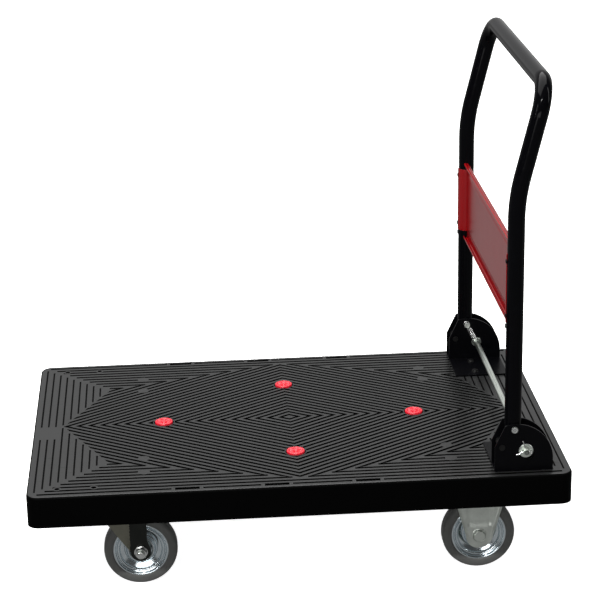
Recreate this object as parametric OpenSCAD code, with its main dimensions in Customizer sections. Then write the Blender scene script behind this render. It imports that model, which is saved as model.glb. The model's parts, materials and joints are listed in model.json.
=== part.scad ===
// Folding platform cart: a moulded deck on four casters with a fold-down push handle.
// Millimetres. +X points to the handle end, +Z up, +Y to the left when looking along +X.
// The origin is on the floor under the middle of the deck.

/* [Deck] */
// Length of the deck
deck_l = 900; // [860:5:1080]
// Width of the deck
deck_w = 600; // [540:5:720]
// Height of the deck's top face above the floor
deck_top = 213; // [208:1:230]
// Depth of the skirt round the deck
skirt_h = 54; // [48:1:58]
// Thickness of the skirt wall
wall_t = 5; // [4:0.5:7]
// Thickness of the load surface
top_t = 6; // [5:0.5:8]
// Corner radius seen from above
corner_r = 20; // [12:1:35]
// Depth of the anti-slip grooves
groove_d = 2.5; // [1:0.1:3]
// Spacing of the nested diamonds along the deck
diamond_pitch = 21; // [19:0.5:23]

/* [Plugs] */
// Radius of each plug's head
plug_r = 15.5; // [12:0.5:17]
// Distance of the end plugs from the middle
plug_x = 222; // [150:1:300]
// Distance of the side plugs from the middle
plug_y = 156; // [100:1:200]

/* [Handle] */
// Diameter of the handle tube
tube_d = 28; // [25:0.5:32]
// Wall of the handle tube
tube_wall = 1.8; // [1.5:0.1:2.5]
// Distance of each leg from the middle
leg_y = 262; // [225:1:275]
// Distance of the legs from the middle along the deck
leg_x = 353; // [335:1:360]
// Height of the crossbar above the deck
bar_h = 646; // [560:1:740]
// Height of the bend above the deck
kink_h = 465; // [430:1:500]
// Lean of the handle above the bend, in degrees
lean = 14; // [6:1:18]
// Radius of the two top corners
bar_bend_r = 50; // [45:1:75]
// Height of the fold pivot above the deck
pivot_h = 74; // [72:1:80]

/* [Cross plate] */
// Height of the plate
plate_h = 143; // [110:1:160]
// Height of the plate's middle above the deck
plate_mid = 314; // [300:1:345]
// Thickness of the sheet
sheet_t = 1.5; // [1.2:0.1:2]

/* [Brackets] */
// Thickness of the bracket steel
bracket_t = 3; // [2.5:0.5:4]
// Radius of the rounded side of each cheek
cheek_r = 63; // [62:0.5:66]
// Gap between the leg and each cheek
leg_gap = 0.5; // [0.4:0.1:1.5]
// Radius of the pivot pin
pin_r = 4; // [3.5:0.1:5]
// Running clearance round the pivot pin
pin_gap = 0.08; // [0.04:0.01:0.1]
// Radius of the lock rod
rod_r = 5; // [4:0.5:5]
// Clearance between the lock rod and its slot
rod_gap = 0.3; // [0.3:0.1:0.6]
// Travel of the lock rod along its slot
rod_travel = 12; // [8:1:13]

/* [Casters] */
// Radius of a wheel over the tyre
wheel_r = 62.5; // [58:0.5:65]
// Width of the tyre
tyre_w = 30; // [26:1:32]
// Radius of the rim under the tyre
rim_r = 45; // [42:0.5:47]
// Distance of the caster plates from the middle, along the deck
caster_x = 309; // [290:1:325]
// Distance of the caster plates from the middle, across the deck
caster_y = 185; // [160:1:205]
// Distance from a swivel caster's kingpin to its axle
trail = 40; // [32:1:42]
// Thickness of the fork steel
fork_t = 3; // [2.5:0.5:3.5]
// Gap between the wheel and each fork leg
wheel_gap = 3; // [2:0.5:4]
// Radius of the axles
axle_r = 6; // [5:0.5:6.5]
// Running clearance of the wheel bearings on their sleeve
bearing_gap = 0.06; // [0.03:0.01:0.1]
// Bolt spacing of the caster plates along the deck
bolt_x = 102; // [98:1:106]
// Bolt spacing of the caster plates across the deck
bolt_y = 57; // [55:1:62]

/* [Hidden] */
$fn = 48;
e = 0.01;
big = 2000;

// deck
skirt_z = deck_top - skirt_h;
under_top = deck_top - top_t;
edge_r = 4;
rib_t = 4;
rib_rise = 3;
rib_step_x = 100;
rib_step_y = 96;
boss_r = 12;
insert_r = 7;
insert_h = 22;
m8_r = 4;
pad_wall = 5;
plate_l = bolt_x + 24;
plate_w = bolt_y + 27;
caster_plate_t = 3.5;
slot_l = 46;
slot_w = 9;
slot_bar = 3;
slot_d = 3.5;
slot_y = deck_w / 2 - 13;
slot_xs = [-187, -40, 110];

// anti-slip pattern
diamond_ratio = 0.66;
groove_w = 5.6;
end_groove_w = 3;
end_groove_d = 1;
groove_step = 12.5;
perp_pitch = diamond_pitch * diamond_ratio / sqrt(1 + diamond_ratio * diamond_ratio);
rim_margin = 13;
star_tip_x = deck_l / 2 - 52;
star_tip_y = deck_w / 2 - 34;
star_slope_end = 0.48;
star_slope_side = 0.31;
star_corner_x = (star_tip_x - star_slope_end * star_tip_y) / (1 - star_slope_end * star_slope_side);
star_corner_y = star_tip_y - star_slope_side * star_corner_x;
diamond_n = floor((star_corner_x + star_corner_y / diamond_ratio) / diamond_pitch);
corner_slope = (deck_w / 2 - rim_margin - star_corner_y) / (deck_l / 2 - rim_margin - star_corner_x);
groove_rows = floor((deck_w / 2 - rim_margin - star_corner_y) / groove_step);
end_rows = floor((deck_l / 2 - rim_margin - star_corner_x) / groove_step);
corner_land = 9;
blank_l = 48;
blank_w = 56;
pad_mark_r = 10;

// plugs
plug_rise = 3;
plug_seat_r = plug_r + 2;
plug_seat_d = 1.5;
plug_peg_r = 8;
plug_peg_h = 14;
plug_slot_w = 3.2;
plug_slot_l = 14;
plug_slot_d = 1.6;

// spare holes at the far end of the deck
spare_r = 4.25;
spare_x = [-400, -340];
spare_y = 267;

// brackets
tube_r = tube_d / 2;
pivot_z = deck_top + pivot_h;
cheek_gap = tube_d + 2 * leg_gap;
cheek_in = leg_y - cheek_gap / 2;
cheek_out = leg_y + cheek_gap / 2;
bracket_x0 = leg_x - 32;
cheek_cx = leg_x + 2;
cheek_cz = 20;
bracket_x1 = cheek_cx + cheek_r;
cheek_front_h = 44;
cheek_slope = 2.16;
base_in = leg_y - 104;
base_out = cheek_out + bracket_t;
base_z = deck_top + bracket_t;
bracket_bolt_in_x = leg_x + 7;
bracket_bolt_in_ys = [leg_y - 86, leg_y - 33];
bracket_bolt_out_xs = [leg_x - 13, leg_x + 47];
m6_r = 3;
bolt_play = 0.2;
m6_washer_r = 9;
m6_washer_t = 1.5;
m6_nut_r = 5.8;
m6_nut_h = 6;
m6_tail = 14;
m6_head_r = 6.5;
m6_head_top_r = 5;
m6_head_h = 3.5;
nut_pocket_r = m6_washer_r + 0.5;
nut_pocket_h = m6_tail + 1;
stop_r = 6;
stop_x = leg_x - tube_r - stop_r - 0.3;
stop_z = deck_top + 43;
stop_head_r = 5;
stop_head_h = 1.5;
pin_head_r = pin_r + 1.5;
pin_head_h = 3;

// lock rod
rod_dx = 19.5;
rod_drop = 37.5;
rod_len = sqrt(rod_dx * rod_dx + rod_drop * rod_drop);
rod_tilt = atan2(rod_dx, rod_drop);
rod_x = leg_x + rod_dx;
rod_z = pivot_z - rod_drop;
washer_r = 12;
washer_t = 2;
washer_gap = 0.3;
cotter_r = 1.5;
cotter_play = 0.15;
cotter_turn = 20;
cotter_tail = rod_r + 6;
cotter_eye_x = -rod_r - 9;
cotter_eye_r = 3;
cotter_off = 2.2;
cotter_y = base_out + washer_gap + washer_t + cotter_off;
rod_half = cotter_y + cotter_off + 4;
inner_washer_r = 9;
spring_r = 5.5;
spring_wire = 1.5;
spring_y = cheek_in - bracket_t - 5.5;
spring_eye_t = 2;
spring_eye_w = 2;

// handle
leg_foot = 31;
foot_cap_t = 2.5;
leg_z0 = pivot_z - leg_foot;
kink_z = deck_top + kink_h;
kink_r = 300;
kink_len = kink_r * tan(lean / 2);
bend_swell = 0.05;
bend_lap = 0.5;
bar_z = deck_top + bar_h;
lean_len = (bar_z - kink_z) / cos(lean);
bumper_r = 4;
bumper_h = 1.6;
saddle_h = plate_h - 26;
bumper_z = deck_top + plate_mid - saddle_h / 2 - bumper_r - 1.5;

// cross plate
web_x = leg_x + 1;
plate_z = deck_top + plate_mid;
hem_r = 2;
emboss_in = 16;
emboss_d = 2;
rivet_head_h = 1.2;
rivet_head_r = 4;
rivet_rise = saddle_h / 2 - 12.5;
rivet_zs = [plate_z - rivet_rise, plate_z + rivet_rise];
web_half = leg_y - tube_r - sheet_t;
emboss_half = web_half - emboss_in;
emboss_h = plate_h - 2 * emboss_in;

// casters
axle_z = wheel_r;
fork_in = tyre_w / 2 + wheel_gap;
fork_out = fork_in + fork_t;
plate_top_z = skirt_z;
plate_bot_z = plate_top_z - caster_plate_t;
king_x = -caster_x;
swivel_axle_x = king_x + trail;
race_r = 26;
dome_r = 32;
dome_h = 8;
dome_bot_z = plate_bot_z - dome_h;
ball_r = 3;
ball_ring_r = 22;
ball_n = 10;
ball_z = dome_bot_z - ball_r + 1.2;
crown_top_z = ball_z - ball_r + 1.2;
crown_t = 5;
king_r = 6;
king_gap = 0.08;
king_nut_r = 10.5;
king_nut_h = 8;
king_head_h = 5;
crown_r = 30;
fork_end_r = 17;
fixed_end_r = 23;
fixed_top_half = 42;
flange_w = 5;
sleeve_r = 8;
bearing_r = 15;
bearing_w = 9;
bearing_in = 5;
hub_wall = 3;
hub_rim_half = 13;
nut_af_r = 10.4;
nut_h = 9;
axle_head_r = 10.5;
axle_head_h = 4;
stud_out = 6;
bolt_head_r = 7.2;
bolt_head_h = 5.3;
caster_washer_r = 8.5;
caster_washer_t = 1.5;
bolt_len = 24;

// ---------- helpers ----------

// a round bar along Y, centred on y = 0
module bar_y(r, l, fn = 48) {
    rotate([90, 0, 0])
        cylinder(r = r, h = l, center = true, $fn = fn);
}

// a six-sided bar along Z
module hex(r, h) {
    cylinder(r = r, h = h, $fn = 6);
}

// a plate with rounded corners, standing on z = 0
module round_plate(l, w, h, r) {
    union() {
        translate([-l / 2 + r, -w / 2, 0])
            cube([l - 2 * r, w, h]);
        translate([-l / 2, -w / 2 + r, 0])
            cube([l, w - 2 * r, h]);
        for (x = [-1, 1])
            for (y = [-1, 1])
                translate([x * (l / 2 - r), y * (w / 2 - r), 0])
                    cylinder(r = r, h = h);
    }
}

// places its children at both sides of the cart, mirrored
module both_sides() {
    for (s = [-1, 1])
        side(s)
            children();
}

// puts its children on the +Y side, or mirrored on the -Y side when s is -1
module side(s) {
    if (s < 0)
        mirror([0, 1, 0])
            children();
    else
        children();
}

// ---------- deck ----------

// one closed diamond-shaped groove with its tips at +/-a and +/-a * ratio
module diamond_groove(a) {
    k = (a - groove_w * diamond_pitch / perp_pitch) / a;
    difference() {
        polygon([[a, 0], [0, a * diamond_ratio], [-a, 0], [0, -a * diamond_ratio]]);
        if (k > 0.05)
            polygon(k * [[a, 0], [0, a * diamond_ratio], [-a, 0], [0, -a * diamond_ratio]]);
    }
}

// outline that the diamonds fill: a diamond with its four sides pushed out
module star() {
    polygon([[star_tip_x, 0], [star_corner_x, star_corner_y], [0, star_tip_y],
        [-star_corner_x, star_corner_y], [-star_tip_x, 0], [-star_corner_x, -star_corner_y],
        [0, -star_tip_y], [star_corner_x, -star_corner_y]]);
}

// grooves along the two long sides, from the star out to the corners
module side_grooves() {
    for (j = [0 : groove_rows]) {
        y = deck_w / 2 - rim_margin - j * groove_step;
        x0 = max(0, (star_tip_y - y) / star_slope_side);
        x1 = star_corner_x + (y - star_corner_y) / corner_slope - corner_land / 2;
        if (x1 - x0 > groove_w)
            for (sx = [-1, 1])
                for (sy = [-1, 1])
                    translate([sx * (x0 + x1) / 2, sy * y])
                        square([x1 - x0 + e, groove_w], center = true);
    }
}

// shallow grooves across the two ends
module end_grooves() {
    for (i = [0 : end_rows]) {
        x = deck_l / 2 - rim_margin - i * groove_step;
        y0 = max(0, (star_tip_x - x) / star_slope_end + corner_land);
        y1 = star_corner_y + (x - star_corner_x) * corner_slope - corner_land;
        if (y1 - y0 > groove_w)
            for (sx = [-1, 1])
                for (sy = [-1, 1])
                    translate([sx * x, sy * (y0 + y1) / 2])
                        square([end_groove_w, y1 - y0 + e], center = true);
    }
}

// round lands over the caster bolts, the plugs, the spare holes and the ends of the strap slots
module plain_lands() {
    for (sx = [-1, 1])
        for (sy = [-1, 1])
            translate([sx * (caster_x - bolt_x / 2), sy * caster_y])
                for (b = [-1, 1])
                    translate([0, b * bolt_y / 2])
                        circle(r = pad_mark_r);
    for (p = plug_places())
        translate(p)
            circle(r = plug_seat_r + 1.5);
    for (x = spare_x)
        for (sy = [-1, 1])
            translate([x, sy * spare_y])
                circle(r = spare_r + 3);
    for (x = slot_xs)
        for (sy = [-1, 1])
            translate([x, sy * slot_y])
                square([slot_l + 2 * slot_bar, slot_w], center = true);
}

module groove_pattern() {
    difference() {
        union() {
            intersection() {
                star();
                union() {
                    for (k = [1 : diamond_n])
                        diamond_groove(k * diamond_pitch);
                }
            }
            side_grooves();
        }
        plain_lands();
    }
}

module end_pattern() {
    difference() {
        end_grooves();
        plain_lands();
        translate([-deck_l / 2, -blank_w])
            square([blank_l, blank_w]);
    }
}

function plug_places() = [[plug_x, 0], [-plug_x, 0], [0, plug_y], [0, -plug_y]];

// bosses and walls that carry one caster plate
module caster_pad(x, y) {
    h = deck_top - top_t - skirt_z;
    translate([x, y, skirt_z])
        difference() {
            union() {
                translate([-plate_l / 2, -plate_w / 2, 0])
                    cube([plate_l, plate_w, h + e]);
            }
            translate([-plate_l / 2 + pad_wall, -plate_w / 2 + pad_wall, -e])
                cube([plate_l - 2 * pad_wall, plate_w - 2 * pad_wall, h + 3 * e]);
        }
    for (bx = [-1, 1])
        for (by = [-1, 1])
            translate([x + bx * bolt_x / 2, y + by * bolt_y / 2, skirt_z])
                cylinder(r = boss_r, h = h + e);
}

module caster_insert_holes(x, y) {
    for (bx = [-1, 1])
        for (by = [-1, 1])
            translate([x + bx * bolt_x / 2, y + by * bolt_y / 2, skirt_z - e])
                cylinder(r = insert_r, h = insert_h + 4 + e);
}

module deck_ribs() {
    h = under_top - skirt_z - rib_rise + e;
    nx = floor((deck_l / 2 - 40) / rib_step_x);
    ny = floor((deck_w / 2 - 40) / rib_step_y);
    for (i = [-nx : nx])
        translate([i * rib_step_x - rib_t / 2, -deck_w / 2 + wall_t - 1, skirt_z + rib_rise])
            cube([rib_t, deck_w - 2 * wall_t + 2, h]);
    for (j = [-ny : ny])
        translate([-deck_l / 2 + wall_t - 1, j * rib_step_y - rib_t / 2, skirt_z + rib_rise])
            cube([deck_l - 2 * wall_t + 2, rib_t, h]);
}

module deck_shell() {
    difference() {
        union() {
            translate([0, 0, skirt_z])
                round_plate(deck_l, deck_w, skirt_h - edge_r, corner_r);
            translate([0, 0, deck_top - edge_r - e])
                round_plate(deck_l - 2 * edge_r, deck_w - 2 * edge_r, edge_r + e, corner_r - edge_r);
            for (s = [-1, 1]) {
                translate([0, s * (deck_w / 2 - edge_r), deck_top - edge_r])
                    rotate([0, 90, 0])
                        cylinder(r = edge_r, h = deck_l - 2 * corner_r, center = true);
                translate([s * (deck_l / 2 - edge_r), 0, deck_top - edge_r])
                    bar_y(edge_r, deck_w - 2 * corner_r);
            }
            for (x = [-1, 1])
                for (y = [-1, 1])
                    translate([x * (deck_l / 2 - corner_r), y * (deck_w / 2 - corner_r),
                            deck_top - edge_r])
                        rotate_extrude()
                            translate([corner_r - edge_r, 0])
                                circle(r = edge_r);
        }
        translate([0, 0, skirt_z - e])
            round_plate(deck_l - 2 * wall_t, deck_w - 2 * wall_t, skirt_h - top_t + e,
                corner_r - wall_t);
    }
}

// what is cut away under each caster so its kingpin and plate sit clear of the ribs
module pad_clear(x, y) {
    translate([x - plate_l / 2 + pad_wall, y - plate_w / 2 + pad_wall, skirt_z - e])
        cube([plate_l - 2 * pad_wall, plate_w - 2 * pad_wall, skirt_h - top_t + e]);
}

module bracket_bolt_places() {
    for (y = bracket_bolt_in_ys)
        translate([bracket_bolt_in_x, y, 0])
            children();
    for (x = bracket_bolt_out_xs)
        translate([x, leg_y, 0])
            children();
}

module deck() {
    color("#1d1d1f")
        difference() {
            union() {
                deck_shell();
                difference() {
                    deck_ribs();
                    for (sx = [-1, 1])
                        for (sy = [-1, 1])
                            pad_clear(sx * caster_x, sy * caster_y);
                    both_sides()
                        bracket_bolt_places()
                            translate([0, 0, skirt_z])
                                cylinder(r = boss_r + 2, h = skirt_h - top_t);
                    for (x = spare_x)
                        for (s = [-1, 1])
                            translate([x, s * spare_y, skirt_z])
                                cylinder(r = boss_r, h = skirt_h - top_t);
                }
                for (sx = [-1, 1])
                    for (sy = [-1, 1])
                        caster_pad(sx * caster_x, sy * caster_y);
            }
            for (sx = [-1, 1])
                for (sy = [-1, 1])
                    caster_insert_holes(sx * caster_x, sy * caster_y);
            for (p = plug_places()) {
                translate([p[0], p[1], deck_top - plug_seat_d])
                    cylinder(r = plug_seat_r, h = big);
                translate([p[0], p[1], deck_top - plug_seat_d - plug_peg_h])
                    cylinder(r = plug_peg_r, h = plug_peg_h + plug_seat_d);
            }
            translate([0, 0, deck_top - groove_d])
                linear_extrude(groove_d + 1)
                    groove_pattern();
            translate([0, 0, deck_top - end_groove_d])
                linear_extrude(end_groove_d + 1)
                    end_pattern();
            for (x = slot_xs)
                for (s = [-1, 1])
                    translate([x - slot_l / 2, s * slot_y - slot_w / 2, deck_top - slot_d])
                        cube([slot_l, slot_w, slot_d + 1]);
            for (x = spare_x)
                for (s = [-1, 1])
                    translate([x, s * spare_y, skirt_z])
                        cylinder(r = spare_r, h = skirt_h + 1);
            both_sides()
                bracket_bolt_places() {
                    translate([0, 0, under_top - nut_pocket_h])
                        cylinder(r = nut_pocket_r, h = nut_pocket_h);
                    translate([0, 0, skirt_z])
                        cylinder(r = m6_r + bolt_play, h = skirt_h + 1);
                }
        }
}

module deck_plugs() {
    color("#e8384a")
        for (p = plug_places())
            translate([p[0], p[1], 0])
                difference() {
                    union() {
                        translate([0, 0, deck_top - plug_seat_d])
                            cylinder(r = plug_r, h = plug_seat_d + plug_rise - 1);
                        translate([0, 0, deck_top + plug_rise - 1 - e])
                            cylinder(r1 = plug_r, r2 = plug_r - 1, h = 1 + e);
                        translate([0, 0, deck_top - plug_seat_d - plug_peg_h])
                            cylinder(r = plug_peg_r, h = plug_peg_h + e);
                    }
                    for (a = [0, 90])
                        rotate([0, 0, a])
                            translate([-plug_slot_l / 2, -plug_slot_w / 2,
                                    deck_top + plug_rise - plug_slot_d])
                                cube([plug_slot_l, plug_slot_w, plug_slot_d + 1]);
                }
}

// ---------- caster fixings ----------

module caster_bolt_places() {
    for (sx = [-1, 1])
        for (sy = [-1, 1])
            for (bx = [-1, 1])
                for (by = [-1, 1])
                    translate([sx * caster_x + bx * bolt_x / 2, sy * caster_y + by * bolt_y / 2, 0])
                        children();
}

module caster_inserts() {
    color("#b08d3e")
        caster_bolt_places()
            translate([0, 0, skirt_z])
                difference() {
                    cylinder(r = insert_r, h = insert_h, $fn = 32);
                    translate([0, 0, -1])
                        cylinder(r = m8_r, h = insert_h + 2, $fn = 32);
                }
}

module caster_bolts() {
    color("#b9bcc0")
        caster_bolt_places()
            union() {
                translate([0, 0, plate_bot_z - caster_washer_t - bolt_head_h])
                    hex(bolt_head_r, bolt_head_h);
                translate([0, 0, plate_bot_z - caster_washer_t - e])
                    cylinder(r = m8_r, h = bolt_len, $fn = 32);
            }
}

module caster_washers() {
    color("#c4c7ca")
        caster_bolt_places()
            translate([0, 0, plate_bot_z - caster_washer_t])
                difference() {
                    cylinder(r = caster_washer_r, h = caster_washer_t, $fn = 32);
                    translate([0, 0, -1])
                        cylinder(r = m8_r + bolt_play, h = caster_washer_t + 2, $fn = 32);
                }
}

// ---------- brackets ----------

// side outline of one cheek, in X and height above the deck
module cheek_outline() {
    intersection() {
        union() {
            translate([cheek_cx, cheek_cz])
                circle(r = cheek_r);
            translate([cheek_cx - cheek_r, 0])
                square([2 * cheek_r, cheek_cz]);
        }
        polygon([[bracket_x0, 0], [big, 0], [big, big],
            [bracket_x0 + (big - cheek_front_h) / cheek_slope, big], [bracket_x0, cheek_front_h]]);
    }
}

// a slot along the lock rod's path
module rod_slot(r, l) {
    rotate([0, 90 - rod_tilt, 0])
        union() {
            bar_y(r, l);
            translate([rod_travel, 0, 0])
                bar_y(r, l);
            translate([0, -l / 2, -r])
                cube([rod_travel, l, 2 * r]);
        }
}

module cheek(y0) {
    translate([0, y0 + bracket_t, deck_top])
        rotate([90, 0, 0])
            linear_extrude(bracket_t)
                cheek_outline();
}

module bracket() {
    difference() {
        union() {
            cheek(cheek_in - bracket_t);
            cheek(cheek_out);
            translate([bracket_x0, base_in, deck_top])
                cube([bracket_x1 - bracket_x0, base_out - base_in, bracket_t]);
        }
        translate([leg_x, leg_y, pivot_z])
            bar_y(pin_r, 80);
        translate([stop_x, leg_y, stop_z])
            bar_y(m6_r + 1, 80);
        translate([rod_x, leg_y, rod_z])
            rod_slot(rod_r + rod_gap, 80);
        bracket_bolt_places()
            translate([0, 0, deck_top - 1])
                cylinder(r = m6_r + bolt_play, h = bracket_t + 2);
    }
}

module bracket_right() {
    color("#141416")
        mirror([0, 1, 0])
            bracket();
}

module bracket_left() {
    color("#141416")
        bracket();
}

module bracket_bolts() {
    color("#18181a")
        both_sides()
            bracket_bolt_places()
                union() {
                    translate([0, 0, base_z])
                        cylinder(r1 = m6_head_r, r2 = m6_head_top_r, h = m6_head_h, $fn = 32);
                    translate([0, 0, under_top - m6_tail])
                        cylinder(r = m6_r, h = top_t + bracket_t + m6_tail + e, $fn = 32);
                }
}

module bracket_washers() {
    color("#c4c7ca")
        both_sides()
            bracket_bolt_places()
                translate([0, 0, under_top - m6_washer_t])
                    difference() {
                        cylinder(r = m6_washer_r, h = m6_washer_t, $fn = 32);
                        translate([0, 0, -1])
                            cylinder(r = m6_r + bolt_play, h = m6_washer_t + 2, $fn = 32);
                    }
}

module bracket_nuts() {
    color("#b9bcc0")
        both_sides()
            bracket_bolt_places()
                translate([0, 0, under_top - m6_washer_t - m6_nut_h])
                    difference() {
                        hex(m6_nut_r, m6_nut_h);
                        translate([0, 0, -1])
                            cylinder(r = m6_r, h = m6_nut_h + 2, $fn = 32);
                    }
}

// riveted pins the legs turn on; their inner ends carry the springs
module pivot_pins() {
    color("#c9ccce")
        both_sides()
            union() {
                translate([leg_x, (spring_y - 4 + base_out) / 2, pivot_z])
                    bar_y(pin_r, base_out - spring_y + 4 + 2 * e);
                translate([leg_x, base_out + pin_head_h / 2, pivot_z])
                    bar_y(pin_head_r, pin_head_h);
                translate([leg_x, spring_y - 4 - pin_head_h / 2, pivot_z])
                    bar_y(pin_head_r, pin_head_h);
            }
}

// spacers that stop the legs upright
module stop_pins() {
    color("#161618")
        both_sides()
            translate([stop_x, leg_y, stop_z])
                union() {
                    bar_y(stop_r, cheek_gap);
                    bar_y(m6_r + 1, cheek_gap + 2 * bracket_t + 2 * e);
                    for (s = [-1, 1])
                        translate([0, s * (cheek_gap / 2 + bracket_t + stop_head_h / 2), 0])
                            bar_y(stop_head_r, stop_head_h);
                }
}

// ---------- lock rod ----------

module lock_rod() {
    color("#c3c7c6")
        difference() {
            translate([rod_x, 0, rod_z])
                bar_y(rod_r, 2 * rod_half);
            both_sides()
                translate([rod_x, cotter_y, rod_z])
                    rotate([0, 90 + cotter_turn, 0])
                        cylinder(r = cotter_r + cotter_play, h = 4 * rod_r, center = true, $fn = 24);
        }
}

module rod_washers() {
    color("#cfd1cf")
        both_sides()
            union() {
                translate([rod_x, base_out + washer_gap + washer_t / 2, rod_z])
                    difference() {
                        bar_y(washer_r, washer_t);
                        bar_y(rod_r, washer_t + 2);
                    }
                translate([rod_x, cheek_in - bracket_t - washer_gap - washer_t / 2, rod_z])
                    difference() {
                        bar_y(inner_washer_r, washer_t);
                        bar_y(rod_r, washer_t + 2);
                    }
            }
}

// a split pin standing out of the rod on both sides, its eye on the -X side
module split_pin(y) {
    translate([rod_x, y, rod_z])
        rotate([0, cotter_turn, 0])
            union() {
                translate([cotter_eye_x + cotter_eye_r, 0, 0])
                    rotate([0, 90, 0])
                        cylinder(r = cotter_r, h = cotter_tail - cotter_eye_x - cotter_eye_r, $fn = 24);
                translate([cotter_eye_x, 0, 0])
                    rotate([90, 0, 0])
                        rotate_extrude($fn = 24)
                            translate([cotter_eye_r, 0])
                                circle(r = cotter_r, $fn = 16);
            }
}

module split_pins() {
    color("#d8d6cf")
        both_sides()
            split_pin(cotter_y);
}

// tension springs between the pivot pins and the rod
module lock_springs() {
    color("#b8c0c4")
        both_sides()
            translate([leg_x, spring_y, pivot_z])
                rotate([0, -rod_tilt, 0])
                    union() {
                        spring_eye(pin_r + 0.3, 0);
                        spring_eye(rod_r + 0.4, -rod_len);
                        translate([0, 0, -rod_len + rod_r + spring_eye_w])
                            cylinder(r = spring_wire / 2, h = 5, $fn = 24);
                        translate([0, 0, -pin_r - spring_eye_w - 5])
                            cylinder(r = spring_wire / 2, h = 5, $fn = 24);
                        translate([0, 0, -rod_len + rod_r + spring_eye_w + 4])
                            cylinder(r = spring_r, h = rod_len - pin_r - rod_r - 2 * spring_eye_w - 8);
                    }
}

module spring_eye(r, z) {
    translate([0, 0, z])
        difference() {
            bar_y(r + spring_eye_w, spring_eye_t);
            bar_y(r, spring_eye_t + 2);
        }
}

// ---------- handle ----------

// ring the tube's wall is swept from; the bends are a hair thicker than the straights
module tube_ring(swell) {
    difference() {
        circle(r = tube_r + swell);
        circle(r = tube_r - tube_wall - swell);
    }
}

// one leg with its bend and its corner
module handle_half() {
    translate([leg_x, leg_y, leg_z0])
        linear_extrude(kink_z - kink_len - leg_z0 + bend_lap)
            tube_ring(0);
    translate([leg_x + kink_r, leg_y, kink_z - kink_len])
        rotate([-90, 0, 0])
            rotate([0, 0, 180])
                rotate_extrude(angle = lean)
                    translate([kink_r, 0])
                        tube_ring(bend_swell);
    translate([leg_x, leg_y, kink_z])
        rotate([0, lean, 0]) {
            translate([0, 0, kink_len - bend_lap])
                linear_extrude(lean_len - kink_len - bar_bend_r + 2 * bend_lap)
                    tube_ring(0);
            translate([0, -bar_bend_r, lean_len - bar_bend_r])
                rotate([0, -90, 0])
                    rotate_extrude(angle = 90)
                        translate([bar_bend_r, 0])
                            tube_ring(bend_swell);
        }
}

// the straight part of the crossbar
module handle_bar() {
    translate([leg_x, 0, kink_z])
        rotate([0, lean, 0])
            translate([0, bar_bend_r - leg_y - bend_lap, lean_len])
                rotate([-90, 0, 0])
                    linear_extrude(2 * (leg_y - bar_bend_r + bend_lap))
                        tube_ring(0);
}

module handle_tube() {
    color("#131315")
        difference() {
            union() {
                handle_bar();
                both_sides()
                    handle_half();
            }
            both_sides()
                translate([leg_x, leg_y, pivot_z])
                    bar_y(pin_r + pin_gap, tube_d + 4);
        }
}

// plastic caps in the legs' lower ends
module foot_caps() {
    color("#0f0f10")
        both_sides()
            translate([leg_x, leg_y, leg_z0])
                union() {
                    translate([0, 0, -foot_cap_t])
                        cylinder(r = tube_r, h = foot_cap_t);
                    translate([0, 0, -e])
                        cylinder(r = tube_r - tube_wall, h = 12);
                }
}

// rubber buttons on the front of the legs
module leg_bumpers() {
    color("#0d0d0e")
        both_sides()
            translate([leg_x, leg_y, bumper_z])
                difference() {
                    translate([-tube_r - bumper_h, 0, 0])
                        rotate([0, 90, 0])
                            cylinder(r = bumper_r, h = bumper_h + 3);
                    translate([0, 0, -20])
                        cylinder(r = tube_r, h = 40);
                }
}

// pressed sheet between the legs; its ends wrap round the tubes
module cross_plate() {
    r1 = tube_r + sheet_t;
    color("#c4152a")
        union() {
            difference() {
                union() {
                    translate([web_x - sheet_t / 2, -web_half - sheet_t, plate_z - plate_h / 2])
                        cube([sheet_t, 2 * (web_half + sheet_t), plate_h]);
                    translate([web_x - sheet_t / 2 - emboss_d, -emboss_half, plate_z - emboss_h / 2])
                        cube([emboss_d + sheet_t, 2 * emboss_half, emboss_h]);
                }
                translate([web_x + sheet_t / 2 - emboss_d, -emboss_half + sheet_t,
                        plate_z - emboss_h / 2 + sheet_t])
                    cube([emboss_d + 1, 2 * (emboss_half - sheet_t), emboss_h - 2 * sheet_t]);
            }
            for (s = [-1, 1])
                translate([web_x, 0, plate_z + s * (plate_h / 2 - hem_r)])
                    bar_y(hem_r, 2 * web_half);
            both_sides()
                translate([leg_x, leg_y, plate_z - saddle_h / 2])
                    intersection() {
                        difference() {
                            cylinder(r = r1, h = saddle_h);
                            translate([0, 0, -1])
                                cylinder(r = tube_r, h = saddle_h + 2);
                        }
                        translate([-r1 - 1, -r1 - 1, -1])
                            cube([r1 + 1 + web_x - leg_x + sheet_t / 2, r1 + 1 + 3, saddle_h + 2]);
                    }
        }
}

module plate_rivets() {
    color("#1a1a1c")
        both_sides()
            for (z = rivet_zs)
                translate([leg_x - tube_r - sheet_t, leg_y, z])
                    rotate([0, 90, 0])
                        translate([0, 0, -rivet_head_h])
                            cylinder(r1 = rivet_head_r - 1, r2 = rivet_head_r, h = rivet_head_h);
}

// ---------- casters ----------

module swivel_plate() {
    difference() {
        union() {
            translate([king_x, caster_y, plate_bot_z])
                round_plate(plate_l, plate_w, caster_plate_t, 8);
            translate([king_x, caster_y, dome_bot_z])
                cylinder(r1 = race_r, r2 = dome_r, h = dome_h + e);
        }
        translate([king_x, caster_y, 0])
            cylinder(r = king_r, h = big);
        for (bx = [-1, 1])
            for (by = [-1, 1])
                translate([king_x + bx * bolt_x / 2, caster_y + by * bolt_y / 2, 0])
                    cylinder(r = m8_r + 0.4, h = big);
        translate([king_x, caster_y, ball_z])
            race_groove();
    }
}

// the track a ring of balls runs in
module race_groove() {
    rotate_extrude()
        translate([ball_ring_r, 0])
            circle(r = ball_r + 0.35);
}

module swivel_plate_right() {
    color("#b4b8ba")
        mirror([0, 1, 0])
            swivel_plate();
}

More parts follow.
